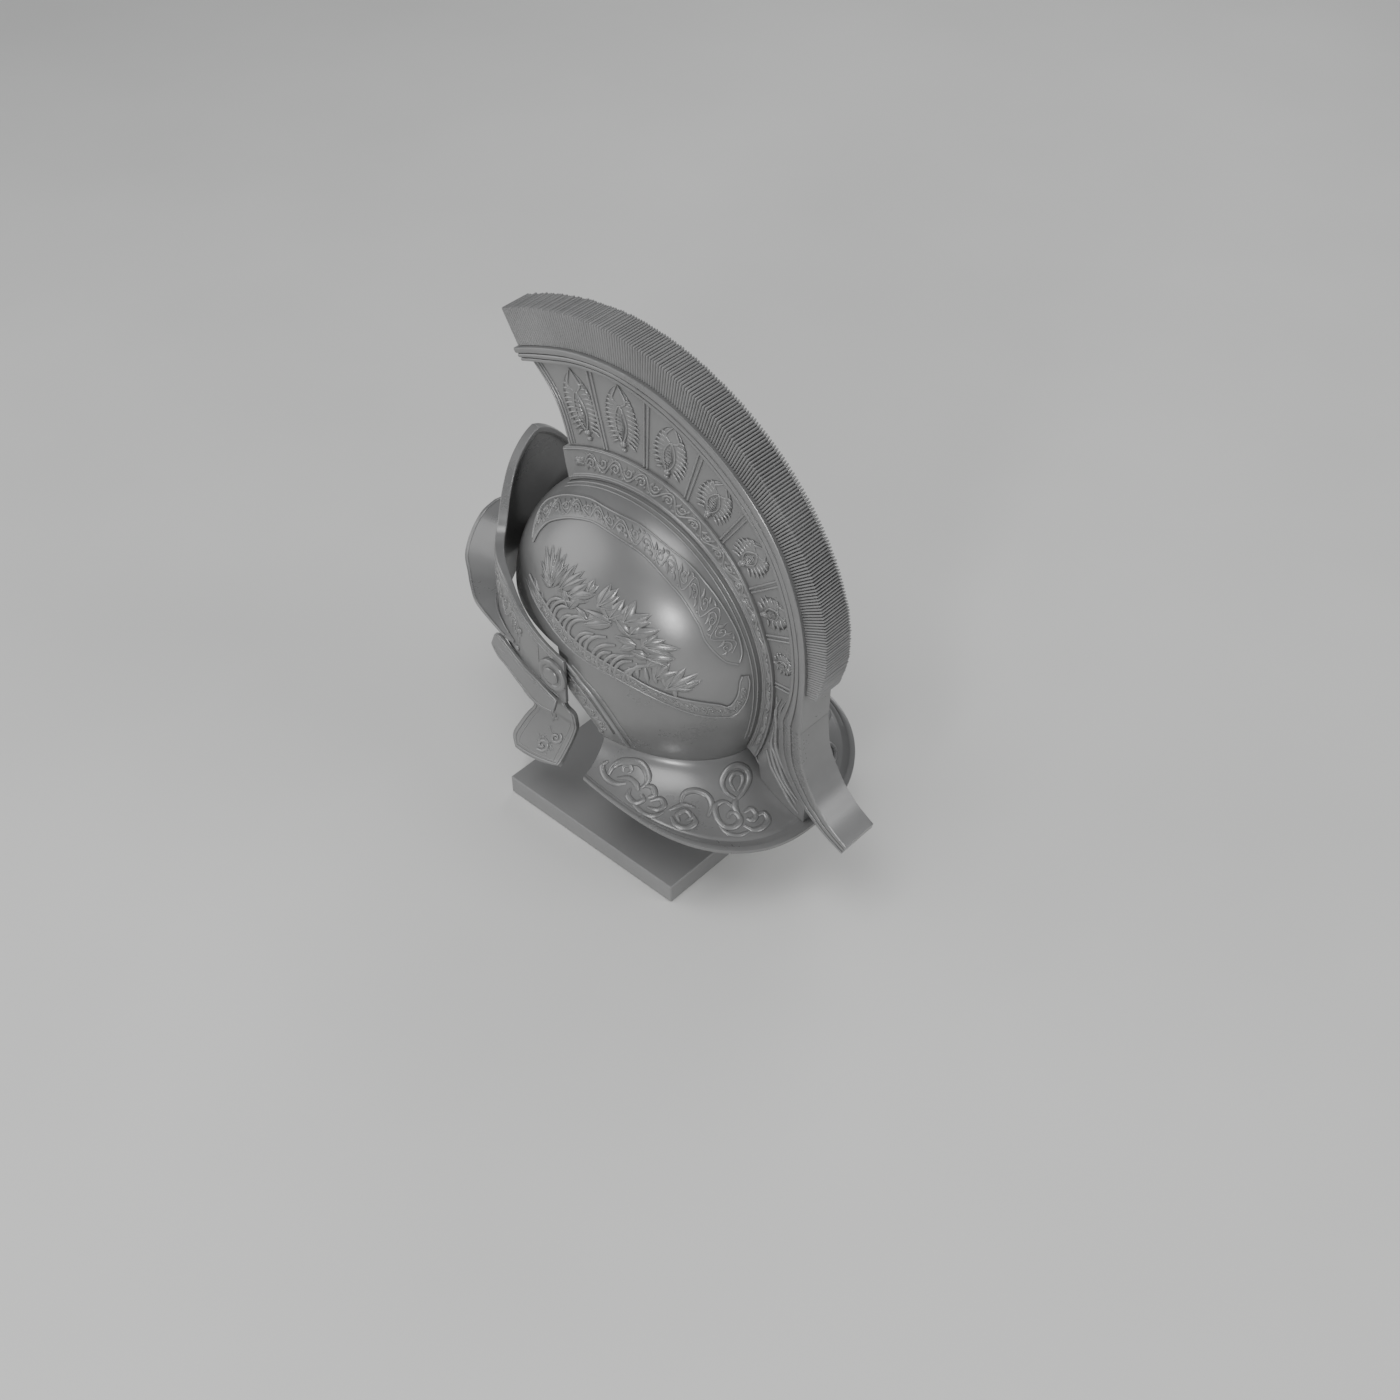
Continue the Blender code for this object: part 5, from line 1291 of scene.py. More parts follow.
def brow_section(share):
    """The brow plate's section: rounded thick rim above, thin wall below."""
    top = BROW_HEIGHT * BROW.at("top", share)
    low = -BROW_SKIRT * BROW.at("skirt", share)
    rim = max(BROW_RIM * BROW.at("rim", share), BROW_WALL)
    step = top - BROW_RIM_DEPTH
    return ((low, 0), (low + 0.35 * (step - low), 0), (low + 0.7 * (step - low), 0), (step, 0), (top, 0),
            (top, rim),
            (step, rim), (step - rim / 3, BROW_WALL), (low + 0.5 * (step - low), BROW_WALL), (low, BROW_WALL))


class HELMET_OT_brow_plate(bpy.types.Operator):
    """Builds the brow plate with its thick rim and carved border, and the peak over the face"""
    bl_idname = "helmet.brow_plate"
    bl_label = "Brow plate and peak"

    def execute(self, context):
        metal = material_named("Cast metal")
        plate, peak, work = Shape(), Shape(), RaisedWork()
        shares = np.linspace(0, 1, 70)
        rings = []
        for hand, row in ((-1, shares[:0:-1]), (1, shares)):
            for share in row:
                rings.append([brow_at(share, rise, -inset)[0] * np.array((hand, 1.0, 1.0))
                              for rise, inset in brow_section(share)])
        plate.loft(rings)
        plate_obj = rounded(plate.finish("brow plate shell", metal, 35), 0.9 * MM, 2)
        stops = np.linspace(0, PEAK_END, 56)
        rings = []
        for hand, row in ((-1, stops[:0:-1]), (1, stops)):
            for share in row:
                rings.append([p * np.array((hand, 1.0, 1.0)) for p in self.peak_ring(share)])
        peak.loft(rings)
        peak_obj = rounded(peak.finish("peak shell", metal, 35), 0.7 * MM, 2)

        rim = [(s, -BROW_SKIRT * BROW.at("skirt", s) + 2.6 * MM) for s in np.linspace(0.36, 0.985, 24)]
        work.rib(brow_at, rim, (1.1, 1.1), 0.8, count=60)
        under_rim = [(s, BROW_HEIGHT * BROW.at("top",
                                               s) - BROW_RIM_DEPTH - 1.0 * MM) for s in np.linspace(0.0,
                                                                                                    0.97, 40)]
        work.rib(brow_at, under_rim, (1.0, 1.0), 0.7, count=120)
        inner = [(s, BROW_HEIGHT * BROW.at("top", s) - BROW_RIM_DEPTH - 3.4 * MM) for s in np.linspace(0.0,
                                                                                                       0.9,
                                                                                                       40)]
        work.rib(brow_at, inner, (0.6, 0.6), 0.8, count=120)
        def along(x, y, out=0.0):
            share = np.interp(x, run, marks)
            top = BROW_HEIGHT * BROW.at("top", share) - BROW_RIM_DEPTH - 4 * MM
            low = max(-BROW_SKIRT * BROW.at("skirt", share) + 5 * MM, top - 40 * MM)
            return brow_at(share, (top + low) / 2 + y / 10 * (top - low) / 2, out)
        marks = np.linspace(0.26, 0.8, 60)
        spots = np.array([brow_at(s, 0.0)[0] for s in marks])
        run = run_along(spots)
        scrollwork(work, along, run[-1], 8.0, 17.0, stem=1.0)
        crown_leaf = patch(lambda u, v, out=0.0: brow_at(max(u, 0.0), v, out), 0.06, 52 * MM, 0.01, MM)
        spine = RaisedWork()
        spine.rib(brow_at, [(0.0, 30 * MM), (0.0, 60 * MM), (0.0, 92 * MM)], (1.0, 5.5, 4.5, 0.3), 0.45,
                  count=20)
        spine_obj = spine.finish("brow spine", tree_named("Raised work"), metal, sizes().rib_sides)
        for low in (26, 42, 58):
            leaf(work, crown_leaf, (-6, low - 52), (7, low - 34), 0.2, 3.2)
        work.rib(crown_leaf, spiral((2, -34), 9, 180, 1.3, 1), (1.2, 1.1, 0.8), 0.9, count=26)
        end = [(0.905, r) for r in np.linspace(-0.9 * BROW_SKIRT + 4 * MM, 2 * MM, 5)]
        work.rib(brow_at, end, (0.7, 0.7), 0.8, count=14)
        band = relief("brow relief", work)

        peak_work = RaisedWork()
        for out, width in ((0.94, 1.0), (0.1, 0.8)):
            path = [(s, out) for s in np.linspace(0.0, PEAK_END - 0.05, 40)]
            peak_work.rib(self.peak_at, path, (width, width), 0.8, count=110)
        peak_relief = relief("peak relief", peak_work)
        deliver("brow_plate_dressed", [plate_obj, band, spine_obj], "base", ["brow_plate"])
        deliver("peak_dressed", [peak_obj, peak_relief], "base", ["peak"])
        return {"FINISHED"}

    def peak_at(self, share, out, lift=0.0):
        reach = PEAK.at("reach", share)
        rim_z = BOWL_CENTRE[2] + PEAK_RISE - PEAK_SAG * PEAK.at("sag", share)
        height = rim_z + PEAK_SLOPE * math.sqrt(max(reach, 0.0)) * (1 - out)
        point = brow_at(share, height - BOWL_CENTRE[2] - BROW_RISE, GAP + PEAK_REACH * reach * out)[0]
        return point + np.array((0, 0, lift)), np.array((0.0, 0.0, 1.0))

    def peak_ring(self, share):
        drop = np.array((0, 0, PEAK_WALL))
        over = [self.peak_at(share, out)[0] for out in (0.0, 0.25, 0.5, 0.75, 1.0)]
        return over + [p - drop for p in over[::-1]]


def flange_corners(share):
    """The flange's four corners at a share from its tip: inner top, outer top, outer low, inner low."""
    y = BROW_Y - FLANGE_FRONT + FLANGE_LENGTH * share
    inner = brow_at(brow_share_at(y), 0.0)[0][0] + GAP + FLANGE_STAND * FLANGE.at("stand", share)
    top = BOWL_CENTRE[2] - FLANGE_DROP * FLANGE.at("drop", share)
    low = top - FLANGE_HEIGHT * FLANGE.at("height", share)
    return np.array(((inner, y, top), (inner + FLANGE_WALL, y, top),
                     (inner + FLANGE_WALL + FLANGE_FLARE, y, low), (inner + FLANGE_FLARE, y, low)))


def flange_at(share, down, out=0.0):
    """Point and normal on the flange's outer face, from its tip and from its upper edge."""
    corners = flange_corners(min(max(share, 0.0), 1.0))
    normal = unit(np.array((FLANGE_HEIGHT * FLANGE.at("height", share), 0.0, FLANGE_FLARE)))
    return corners[1] + (corners[2] - corners[1]) * down + normal * out, normal


class HELMET_OT_ear_flanges(bpy.types.Operator):
    """Builds the flanges over the ears with the lugs that hold the cheek guards' hinges"""
    bl_idname = "helmet.ear_flanges"
    bl_label = "Ear flanges"

    def execute(self, context):
        metal = material_named("Cast metal")
        for hand, word in ((1, "left"), (-1, "right")):
            plate = Shape()
            plate.loft([flange_corners(s) * np.array((hand, 1.0, 1.0)) for s in np.linspace(0, 1, 44)])
            parts = [rounded(plate.finish("flange plate", metal, 35), 0.8 * MM, 2)]
            for end in (-1, 1):
                parts.append(self.lug(HINGE_AXIS[1] + end * LUG_OFFSET, hand, metal))
            work = RaisedWork()
            for down in (0.1, 0.88):
                work.rib(flange_at, [(s, down) for s in np.linspace(0.04, 0.98, 12)], (0.7, 0.9, 0.7), 0.8,
                         count=40)
            rim = [(s, 0.5) for s in np.linspace(0.1, 0.3, 4)]
            work.rib(flange_at, rim, (0.1, 1.6, 0.1), 0.4, count=12)
            if hand < 0:
                work.turned_over()
            parts.append(work.finish("flange relief", tree_named("Raised work"), metal, sizes().rib_sides))
            deliver(f"ear_flange_{word}_dressed", parts, "base", [f"ear_flange_{word}"])
        return {"FINISHED"}

    def lug(self, y, hand, metal):
        """A rounded plate from the flange's inner face round the hinge pin."""
        share = (y - (BROW_Y - FLANGE_FRONT)) / FLANGE_LENGTH
        top_in, _, _, low_in = flange_corners(share)
        high, low = HINGE_AXIS[2] + KNUCKLE_RADIUS, HINGE_AXIS[2]
        def on_flange(z):
            return top_in[0] + (low_in[0] - top_in[0]) * (top_in[2] - z) / (top_in[2]
                                                                            - low_in[2]) + FLANGE_WALL / 2
        outline = [(HINGE_AXIS[0] - KNUCKLE_RADIUS * math.sin(a),
                    HINGE_AXIS[2] + KNUCKLE_RADIUS * math.cos(a))
                   for a in np.linspace(0, math.pi, 17)]
        outline += [(on_flange(low), low), (on_flange(high), high)]
        shape = Shape()
        shape.loft([[(hand * x, y + end * LUG_LENGTH / 2, z) for x, z in outline] for end in (-1, 1)])
        return rounded(shape.finish("lug", metal, 35), 0.4 * MM, 2)


class HELMET_OT_cheek_guards(bpy.types.Operator):
    """Builds the two cheek guards with their hinge knuckles, rims and scrolls"""
    bl_idname = "helmet.cheek_guards"
    bl_label = "Cheek guards"

    def execute(self, context):
        metal = material_named("Cast metal")
        rows, columns = CHEEK_GRID.shape[:2]
        for hand, word in ((1, "left"), (-1, "right")):
            turn = np.array((hand, 1.0, 1.0))
            plate, knuckle, work = Shape(), Shape(), RaisedWork()
            outer, inner = [], []
            for i in range(rows):
                downs = i / (rows - 1)
                places = [cheek_at(j / (columns - 1), downs) for j in range(columns)]
                outer.append([p * turn for p, n in places])
                inner.append([(p - n * CHEEK_WALL) * turn for p, n in places][::-1])
            plate.loft([a + b for a, b in zip(outer, inner)])
            plate_obj = rounded(plate.finish("cheek plate", metal, 35), 0.8 * MM, 2, 50)
            half, r = KNUCKLE_LENGTH / 2, KNUCKLE_RADIUS
            profile = ((0, -half), (r - 0.6 * MM, -half), (r, -half + 0.6 * MM), (r, half - 0.6 * MM),
                       (r - 0.6 * MM, half), (0, half))
            knuckle.turn(profile, HINGE_AXIS * turn, (0, 1, 0), 28)
            parts = [plate_obj, knuckle.finish("knuckle", metal, 35)]
            margin = 0.055
            loop = [(margin, d) for d in np.linspace(0.12, 0.955, 14)]
            loop += [(a, 0.965) for a in np.linspace(0.1, 0.9, 7)]
            loop += [(1 - margin, d) for d in np.linspace(0.955, 0.12, 14)]
            work.rib(cheek_at, loop, (0.9, 1.2, 1.2, 1.2, 0.9), 0.75, count=120)
            inner_loop = [(a * 0.8 + 0.1, min(max(d, 0.5), 0.92)) for a, d in loop if d > 0.46]
            work.rib(cheek_at, inner_loop, (0.5, 0.5), 0.8, count=70)
            place = patch(cheek_at, 0.62, 0.75, 0.02, -0.02, 70)
            for curl_hand, x, y, radius in ((1, -9, 1, 8.6), (-1, 9, -3, 7.6)):
                curl = spiral((x, y), radius, 180 if curl_hand > 0 else 0, 1.3, curl_hand)
                work.rib(place, curl, (1.7, 1.6, 1.2), 0.9, count=24)
                work.rib(place, [(x - 0.9, y), (x + 0.9, y)], (0.5, 1.7, 1.7, 0.5), 0.8, count=6)
            for root, tip, bend, size in (((0, -4), (2, 10), 0.2, 2.4), ((0, -4), (-4, -13), -0.2, 2.3),
                                          ((-12, 6), (-3, 15), -0.2, 2.2), ((10, 4), (14, 12), 0.2, 2.0),
                                          ((4, -8), (15, -12), 0.2, 2.0), ((-6, -8), (-16, -11), -0.2, 2.0)):
                frond(work, place, root, tip, bend, size, 2)
            frond(work, patch(cheek_at, 0.5, 0.48, 0.02, -0.02), (0, -8), (0, 10), 0.0, 4, 3)
            if hand < 0:
                work.turned_over()
            parts.append(work.finish("cheek relief", tree_named("Raised work"), metal, sizes().rib_sides))
            deliver(f"cheek_guard_{word}_dressed", parts, f"cheek_{word}", [f"cheek_guard_{word}"])
        return {"FINISHED"}


def dome(name, sides=14):
    """A unit rivet head."""
    shape = Shape()
    profile = [(math.sin(a), math.cos(a)) for a in np.linspace(0, math.pi / 2, 6)] + [(0.0, 0.0)]
    shape.turn(profile, (0, 0, 0), (0, 0, 1), sides)
    return shape.finish(name, material_named("Cast metal"), 60, merge=False)


class HELMET_OT_fittings(bpy.types.Operator):
    """Builds the rosettes, the rivets and the hinge pins' finish"""
    bl_idname = "helmet.fittings"
    bl_label = "Rosettes and rivets"

    def execute(self, context):
        metal = material_named("Cast metal")
        half, r, boss = ROSETTE_THICKNESS / 2, ROSETTE_RADIUS, ROSETTE_BOSS
        profile = ((0.0, ROSETTE_THICKNESS), (boss * 0.5, ROSETTE_THICKNESS * 0.99),
                   (boss * 0.8, ROSETTE_THICKNESS * 0.95),
                   (boss * 0.94, ROSETTE_THICKNESS * 0.88), (boss, ROSETTE_THICKNESS * 0.76),
                   (boss, half * 0.95),
                   (boss * 1.1, half * 0.85), (r * 0.66, half * 0.85), (r * 0.71, half * 1.1),
                   (r * 0.76, half * 1.3),
                   (r * 0.9, half * 1.3), (r * 0.97, half * 1.15), (r, half * 0.95), (r, 0.0), (0.0, 0.0))
        x = brow_at(brow_share_at(ROSETTE_Y), 0.0, GAP)[0][0]
        for hand, word in ((1, "left"), (-1, "right")):
            disc = Shape()
            disc.turn(profile, (hand * x, ROSETTE_Y, ROSETTE_Z), (hand, 0, 0), 64)
            deliver(f"rosette_{word}_dressed", [disc.finish("rosette", metal, 35)], "base",
                    [f"rosette_{word}"])
        rows, nodes = [], []
        for i in (1, 2, 3):
            for word in ("left", "right"):
                node = f"rivet_{word}_{i}"
                low, high = (np.array(tuple(corner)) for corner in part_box(node))
                middle = (low + high) / 2
                hand = 1 if word == "left" else -1
                if i < 3:
                    share = brow_share_at(middle[1])
                    point, normal = brow_at(share, middle[2] - BOWL_CENTRE[2] - BROW_RISE, GAP)
                else:
                    lift = -math.degrees(math.asin((BOWL_CENTRE[2] - middle[2]) / BOWL_TAPER))
                    point, normal = bowl_at(97.0, lift, 0.0)
                flip = np.array((hand, 1.0, 1.0))
                rows.append((point * flip, normal * flip, (0.0, 0.0, 1.0), RIVET_RADIUS, RIVET_RADIUS,
                             RIVET_RISE))
                nodes.append(node)
        rivets = place_parts("rivets_dressed", dome("rivet head"), rows, tree_named("Placed parts"), metal)
        deliver("rivets_dressed", [rivets], "base", nodes)
        for word in ("left", "right"):
            node = frame["nodes"][f"hinge_pin_{word}"]
            node.data.materials.clear()
            node.data.materials.append(material_named("Hinge steel"))
        return {"FINISHED"}


def frieze_ring(share):
    """The frieze's section with its sunk panel, and how deep it is sunk there."""
    high = FRIEZE_ANGLES[0] + (FRIEZE_ANGLES[1] - FRIEZE_ANGLES[0]) * share
    low_angle = FRIEZE_ANGLES[0] - 5 + (FRIEZE_ANGLES[1] - FRIEZE_ANGLES[0] + 5) * share
    low = ridge_radius(low_angle) + FRIEZE_GAP
    depth = band_edge(high, ("frieze",)) - low
    return high, low_angle, low, depth


def frieze_at(share, t, out=0.0):
    """Point and normal on the frieze's side, along it and from its foot to its outer edge (0 to 1)."""
    high, low_angle, low, depth = frieze_ring(min(max(share, 0.0), 1.0))
    y, z = polar(low_angle + (high - low_angle) * t, low + depth * t)
    return np.array((FRIEZE_HALF_WIDTH + out, y, z)), np.array((1.0, 0.0, 0.0))


class HELMET_OT_crest_frieze(bpy.types.Operator):
    """Builds the frieze along the crown with a running scroll in its sunk panel"""
    bl_idname = "helmet.crest_frieze"
    bl_label = "Crest frieze"

    def execute(self, context):
        metal = material_named("Cast metal")
        body, work = Shape(), RaisedWork()
        ends = [0.0, 0.012, 0.018]
        shares = ends + list(np.linspace(0.024, 0.976, 130)) + [1 - e for e in reversed(ends)]
        rings = []
        for share in shares:
            high, low_angle, low, depth = frieze_ring(share)
            sink = FRIEZE_SINK * min(max((min(share, 1 - share) - 0.012) / 0.006, 0.0), 1.0)
            edge = FRIEZE_FRAME / depth
            w, s = FRIEZE_HALF_WIDTH, FRIEZE_HALF_WIDTH - sink
            half = ((w, edge), (s, edge * 1.3), (s, 0.5), (s, 1 - edge * 1.3), (w, 1 - edge), (w, 1.0))
            section = []
            for x in (-w, -w / 2, 0.0, w / 2, w):
                sag = ridge_radius(low_angle) * (1 - math.sqrt(1 - (x / BOWL_HALF_WIDTH) ** 2))
                section.append((x, -sag / depth))
            section += list(half) + [(-x, t) for x, t in reversed(half)]
            ring = []
            for x, t in section:
                y, z = polar(low_angle + (high - low_angle) * t, low + depth * t)
                ring.append((x, y, z))
            rings.append(ring)
        body.loft(rings)
        marks = np.linspace(0.03, 0.97, 100)
        spots = np.array([frieze_at(s, 0.5)[0] for s in marks])
        run = run_along(spots)
        def panel(x, y, out=0.0):
            share = float(np.interp(x, run, marks))
            depth = frieze_ring(share)[3]
            room = 0.5 - FRIEZE_FRAME * 1.35 / depth
            return frieze_at(share, 0.5 + room * y / 10, out - FRIEZE_SINK)
        scrollwork(work, lambda x, y, out=0.0: panel(x + 14, y, out), run[-1] - 16, 8.8, 15.5, stem=1.35)
        frond(work, panel, (1.5, 0), (13, 0), 0.0, 6, 3)
        for t in (0.0, 1.0):
            edge = [(s, t) for s in np.linspace(0.004, 0.996, 60)]
            work.rib(lambda s, t, out=0.0: frieze_at(s, 0.06 + 0.88 * t, out), edge, (0.8, 0.8), 0.9,
                     count=200)
        pieces = [rounded(body.finish("frieze body", metal, 35), 0.35 * MM, 1), relief("frieze relief", work)]
        deliver("crest_frieze_dressed", pieces, "base", ["crest_frieze"])
        return {"FINISHED"}


def neck_line():
    return np.array([neck_point(1.0, v)[1:] for v in np.linspace(0, 1, 14)])


def web_front(share):
    angle = WEB_FRONT_ANGLE + 2.2 * math.sin(math.pi * share)
    low = band_edge(angle, ("frieze",)) + GAP
    high = band_edge(angle, ("frieze", "web"))
    return angle, polar(angle, low + (high - low) * share)


class HELMET_OT_crest_web(bpy.types.Operator):
    """Builds the crest's web with ribbed borders, palmettes and flame ribs"""
    bl_idname = "helmet.crest_web"
    bl_label = "Crest web"

    def execute(self, context):
        metal = material_named("Cast metal")
        body, work = Shape(), RaisedWork()
        outline = self.outline()
        body.points = [(side * WEB_HALF_WIDTH, y, z) for side in (-1, 1) for y, z in outline]
        count = len(outline)
        body.faces = [tuple(range(count)), tuple(range(count, 2 * count))[::-1]]
        body.faces += [(i, (i + 1) % count, count + (i + 1) % count, count + i) for i in range(count)]
        body_obj = body.finish("web body", metal, 30)
        face = side_face(WEB_HALF_WIDTH)
        for angle in PANEL_ANGLES[1:]:
            low, high = band_edge(angle, ("frieze",)) + 1.2 * MM, band_edge(angle,
                                                                            ("frieze", "web")) - 0.4 * MM
            for side in (-1, 1):
                turn = math.degrees(side * 2.1 * MM / ((low + high) / 2))
                work.rib(face, [(angle + turn, low), (angle + turn, high)], (1.2, 1.2), 1.4, count=10)
        for k, inset in enumerate((1.4, 4.8, 8.2)):
            path = []
            for share in np.linspace(0.02, 0.98, 9):
                angle, (y, z) = web_front(share)
                radius = math.hypot(y - BOWL_CENTRE[1], z - BOWL_CENTRE[2])
                path.append((angle + math.degrees(inset * MM / radius), radius))
            work.rib(face, path, (1.2, 1.2) if k < 2 else (0.8, 0.8), 1.4, count=26)
        for k, (one, two) in enumerate(zip(PANEL_ANGLES, PANEL_ANGLES[1:])):
            angle = (one + two) / 2 + (2.2 if k == 0 else 0.0)
            low, high = band_edge(angle, ("frieze",)) + GAP, band_edge(angle, ("frieze", "web"))
            width = min(math.radians(two - one) * (low + high) / 2 * 0.34, (high - low) * 0.46)
            self.palmette(work, face, angle, low + (high - low) * 0.07, (high - low) * 0.88, width)
        self.flames(work, face)
        deliver("crest_web_dressed", [body_obj, relief("web relief", work)], "base", ["crest_web"])
        return {"FINISHED"}

    def outline(self):
        stop = neck_rim(1.0)[1] - WEB_STOP
        line = neck_line()
        pts = [web_front(s)[1] for s in np.linspace(0, 1, 16)]
        for under, out, _, _ in rail_stations(90, 50):
            place = under - out * GAP
            angle = math.degrees(math.atan2(place[1] - BOWL_CENTRE[2], BOWL_CENTRE[1] - place[0])) % 360
            if angle > WEB_FRONT_ANGLE + 0.6 and place[0] < stop - 1 * MM:
                pts.append(place)
        tail = np.array([tail_place(s) for s in np.linspace(0, 4, 81)])
        pts.append(np.array((stop, np.interp(stop, tail[:, 0], tail[:, 1]) - GAP)))
        angles = [a for a in np.linspace(*FRIEZE_ANGLES, 100) if a > WEB_FRONT_ANGLE + 0.3]
        front = polar(angles[-1], band_edge(angles[-1], ("frieze",)) + GAP)[0]
        for y in [stop] + [p for p in line[::-1, 0] if front < p < stop]:
            pts.append(np.array((y, np.interp(y, line[:, 0], line[:, 1]) + GAP)))
        return pts + [polar(a, band_edge(a, ("frieze",)) + GAP) for a in reversed(angles)]

    def palmette(self, work, face, angle, low, length, half):
        """A ribbed seed in a raised border, with feathered sides, a knob below and a hooked tip above."""
        per_mm = math.degrees(MM / (low + length / 2))
        tall, wide = length / MM, half / MM
        def place(x, y, out=0.0):
            return face(angle + x * per_mm * (low + length / 2) / (low + y * MM), low + y * MM, out)
        work.rib(place, [(0, tall * t) for t in (0.10, 0.3, 0.5, 0.7, 0.86, 0.98)],
                 (0.22 * wide, 0.84 * wide, 0.95 * wide, 0.84 * wide, 0.5 * wide, 0.05), 1.5 / wide, count=22)
        count = max(int(round(tall * 0.6 / 3.6)), 5)
        broad = 0.2 * tall / count
        for k in range(count):
            t = k / (count - 1)
            y = tall * (0.13 + 0.60 * t)
            reach = wide * (0.52 + 0.5 * math.sin(math.pi * min(0.12 + 0.78 * t, 1.0)))
            for side in (-1, 1):
                foot = (side * 0.30 * wide, y + 0.03 * tall)
                tip = (side * reach, y + tall * (0.11 * t - 0.05))
                work.rib(place, [foot, ((foot[0] + tip[0]) / 2, (foot[1] + tip[1]) / 2 + 0.012 * tall), tip],
                         (0.5 * broad, broad, 1.1 * broad, 0.4 * broad), 1.1, count=7, lift=0.4 * MM)
        seed = [(side * (0.06 + 0.27 * math.sin(math.pi * t) ** 0.9) * wide, tall * (0.17 + 0.5 * t))
                for side, way in ((1, 1), (-1, -1)) for t in np.linspace(0, 1, 9)[::way]]
        work.rib(place, seed, (1.0, 1.0), 1.1, count=40, lift=1.2 * MM)
        work.rib(place, [(0, tall * 0.2), (0, tall * 0.38), (0, tall * 0.62)], (0.4, 0.24 * wide, 0.3),
                 0.7, count=12,
                 lift=1.0 * MM)
        for t in np.linspace(0.27, 0.58, 7):
            half = wide * 0.2 * math.sin(math.pi * (t - 0.14) / 0.56)
            work.rib(place, [(-half, tall * t), (half, tall * t)], (0.3, 0.5, 0.3), 1.0, count=5,
                     lift=(1.0 + 0.14 * wide) * MM)
        for side in (-1, 1):
            work.rib(place, [(side * 0.12 * wide, tall * 0.68), (side * 0.40 * wide, tall * 0.76),
                             (side * 0.22 * wide, tall * 0.88), (0, tall * 0.99)], (1.0, 1.4, 1.1, 0.3), 0.9,
                     count=14, lift=0.9 * MM)
        for y, size in ((0.125, 0.19), (0.04, 0.15)):
            radius = max(wide * size, 1.3)
            work.rib(place, [(0, tall * y - radius), (0, tall * y), (0, tall * y + radius)],
                     (0.25, radius, radius, 0.25), 0.95, count=7, lift=0.3 * MM)

    def flames(self, work, face):
        """Long waved ribs that run down beside the tail."""
        stations = rail_stations(60, 44)
        line = neck_line()
        for k in range(5):
            inset = (2.3 + 4.9 * k) * MM
            path = []
            for i, (under, out, _, _) in enumerate(stations):
                place = under - out * (inset + 0.9 * MM * math.sin(i * 0.55 + k * 1.3))
                angle = math.degrees(math.atan2(place[1] - BOWL_CENTRE[2], BOWL_CENTRE[1] - place[0])) % 360
                radius = math.hypot(place[0] - BOWL_CENTRE[1], place[1] - BOWL_CENTRE[2])
                inside = angle < FRIEZE_ANGLES[1] and radius < band_edge(angle, ("frieze",)) + 1.8 * MM
                floor = np.interp(place[0], line[:, 0], line[:, 1]) + 1.8 * MM
                if angle > PANEL_ANGLES[-1] + 2 + k * 0.8 and place[0] < neck_rim(1.0)[1] - WEB_STOP - 1.5 * MM:
                    if not inside and (place[1] > floor or place[0] < line[0, 0]):
                        path.append((angle, radius))
            if len(path) > 4:
                work.rib(face, path[::3], (0.8, 2.0, 2.1, 2.0, 0.7), 1.5, count=3 * len(path) // 2)


RAIL_PROFILE = (
    # half width at the crest, half width at the tail's tip, depth
    (0.78, 1.06, 0.00),
    (0.84, 1.08, 0.01),
    (0.865, 1.085, 0.05),
    (0.87, 1.085, 0.14),
    (0.85, 1.07, 0.20),
    (0.80, 1.00, 0.22),
    (0.80, 1.00, 0.26),
    (0.88, 1.04, 0.28),
    (0.925, 1.05, 0.34),
    (0.93, 1.05, 0.46),
    (0.90, 1.03, 0.53),
    (0.84, 0.97, 0.555),
    (0.84, 0.97, 0.60),
    (0.95, 1.01, 0.62),
    (0.99, 1.02, 0.68),
    (1.00, 1.02, 0.80),
    (1.00, 1.00, 0.92),
    (0.985, 0.98, 0.97),
    (0.955, 0.95, 1.00),
    (0.80, 0.80, 1.00),
)


class HELMET_OT_crest_rail(bpy.types.Operator):
    """Builds the stepped rail under the brush and its tail"""
    bl_idname = "helmet.crest_rail"
    bl_label = "Crest rail"

    def execute(self, context):
        body = Shape()
        rings = []
        for under, out, depth, tail in rail_stations(130, 70):
            half = []
            for crest_width, tip_width, rise in RAIL_PROFILE:
                x = RAIL_HALF_WIDTH * (crest_width + (tip_width - crest_width) * tail ** 2)
                place = under + out * (depth * rise)
                half.append((x, place[0], place[1]))
            rings.append(half + [(-x, y, z) for x, y, z in reversed(half)])
        body.loft(rings)
        piece = rounded(body.finish("rail body", material_named("Cast metal"), 28), 0.3 * MM, 1, 30)
        deliver("crest_rail_dressed", [piece], "base", ["crest_rail"])
        return {"FINISHED"}


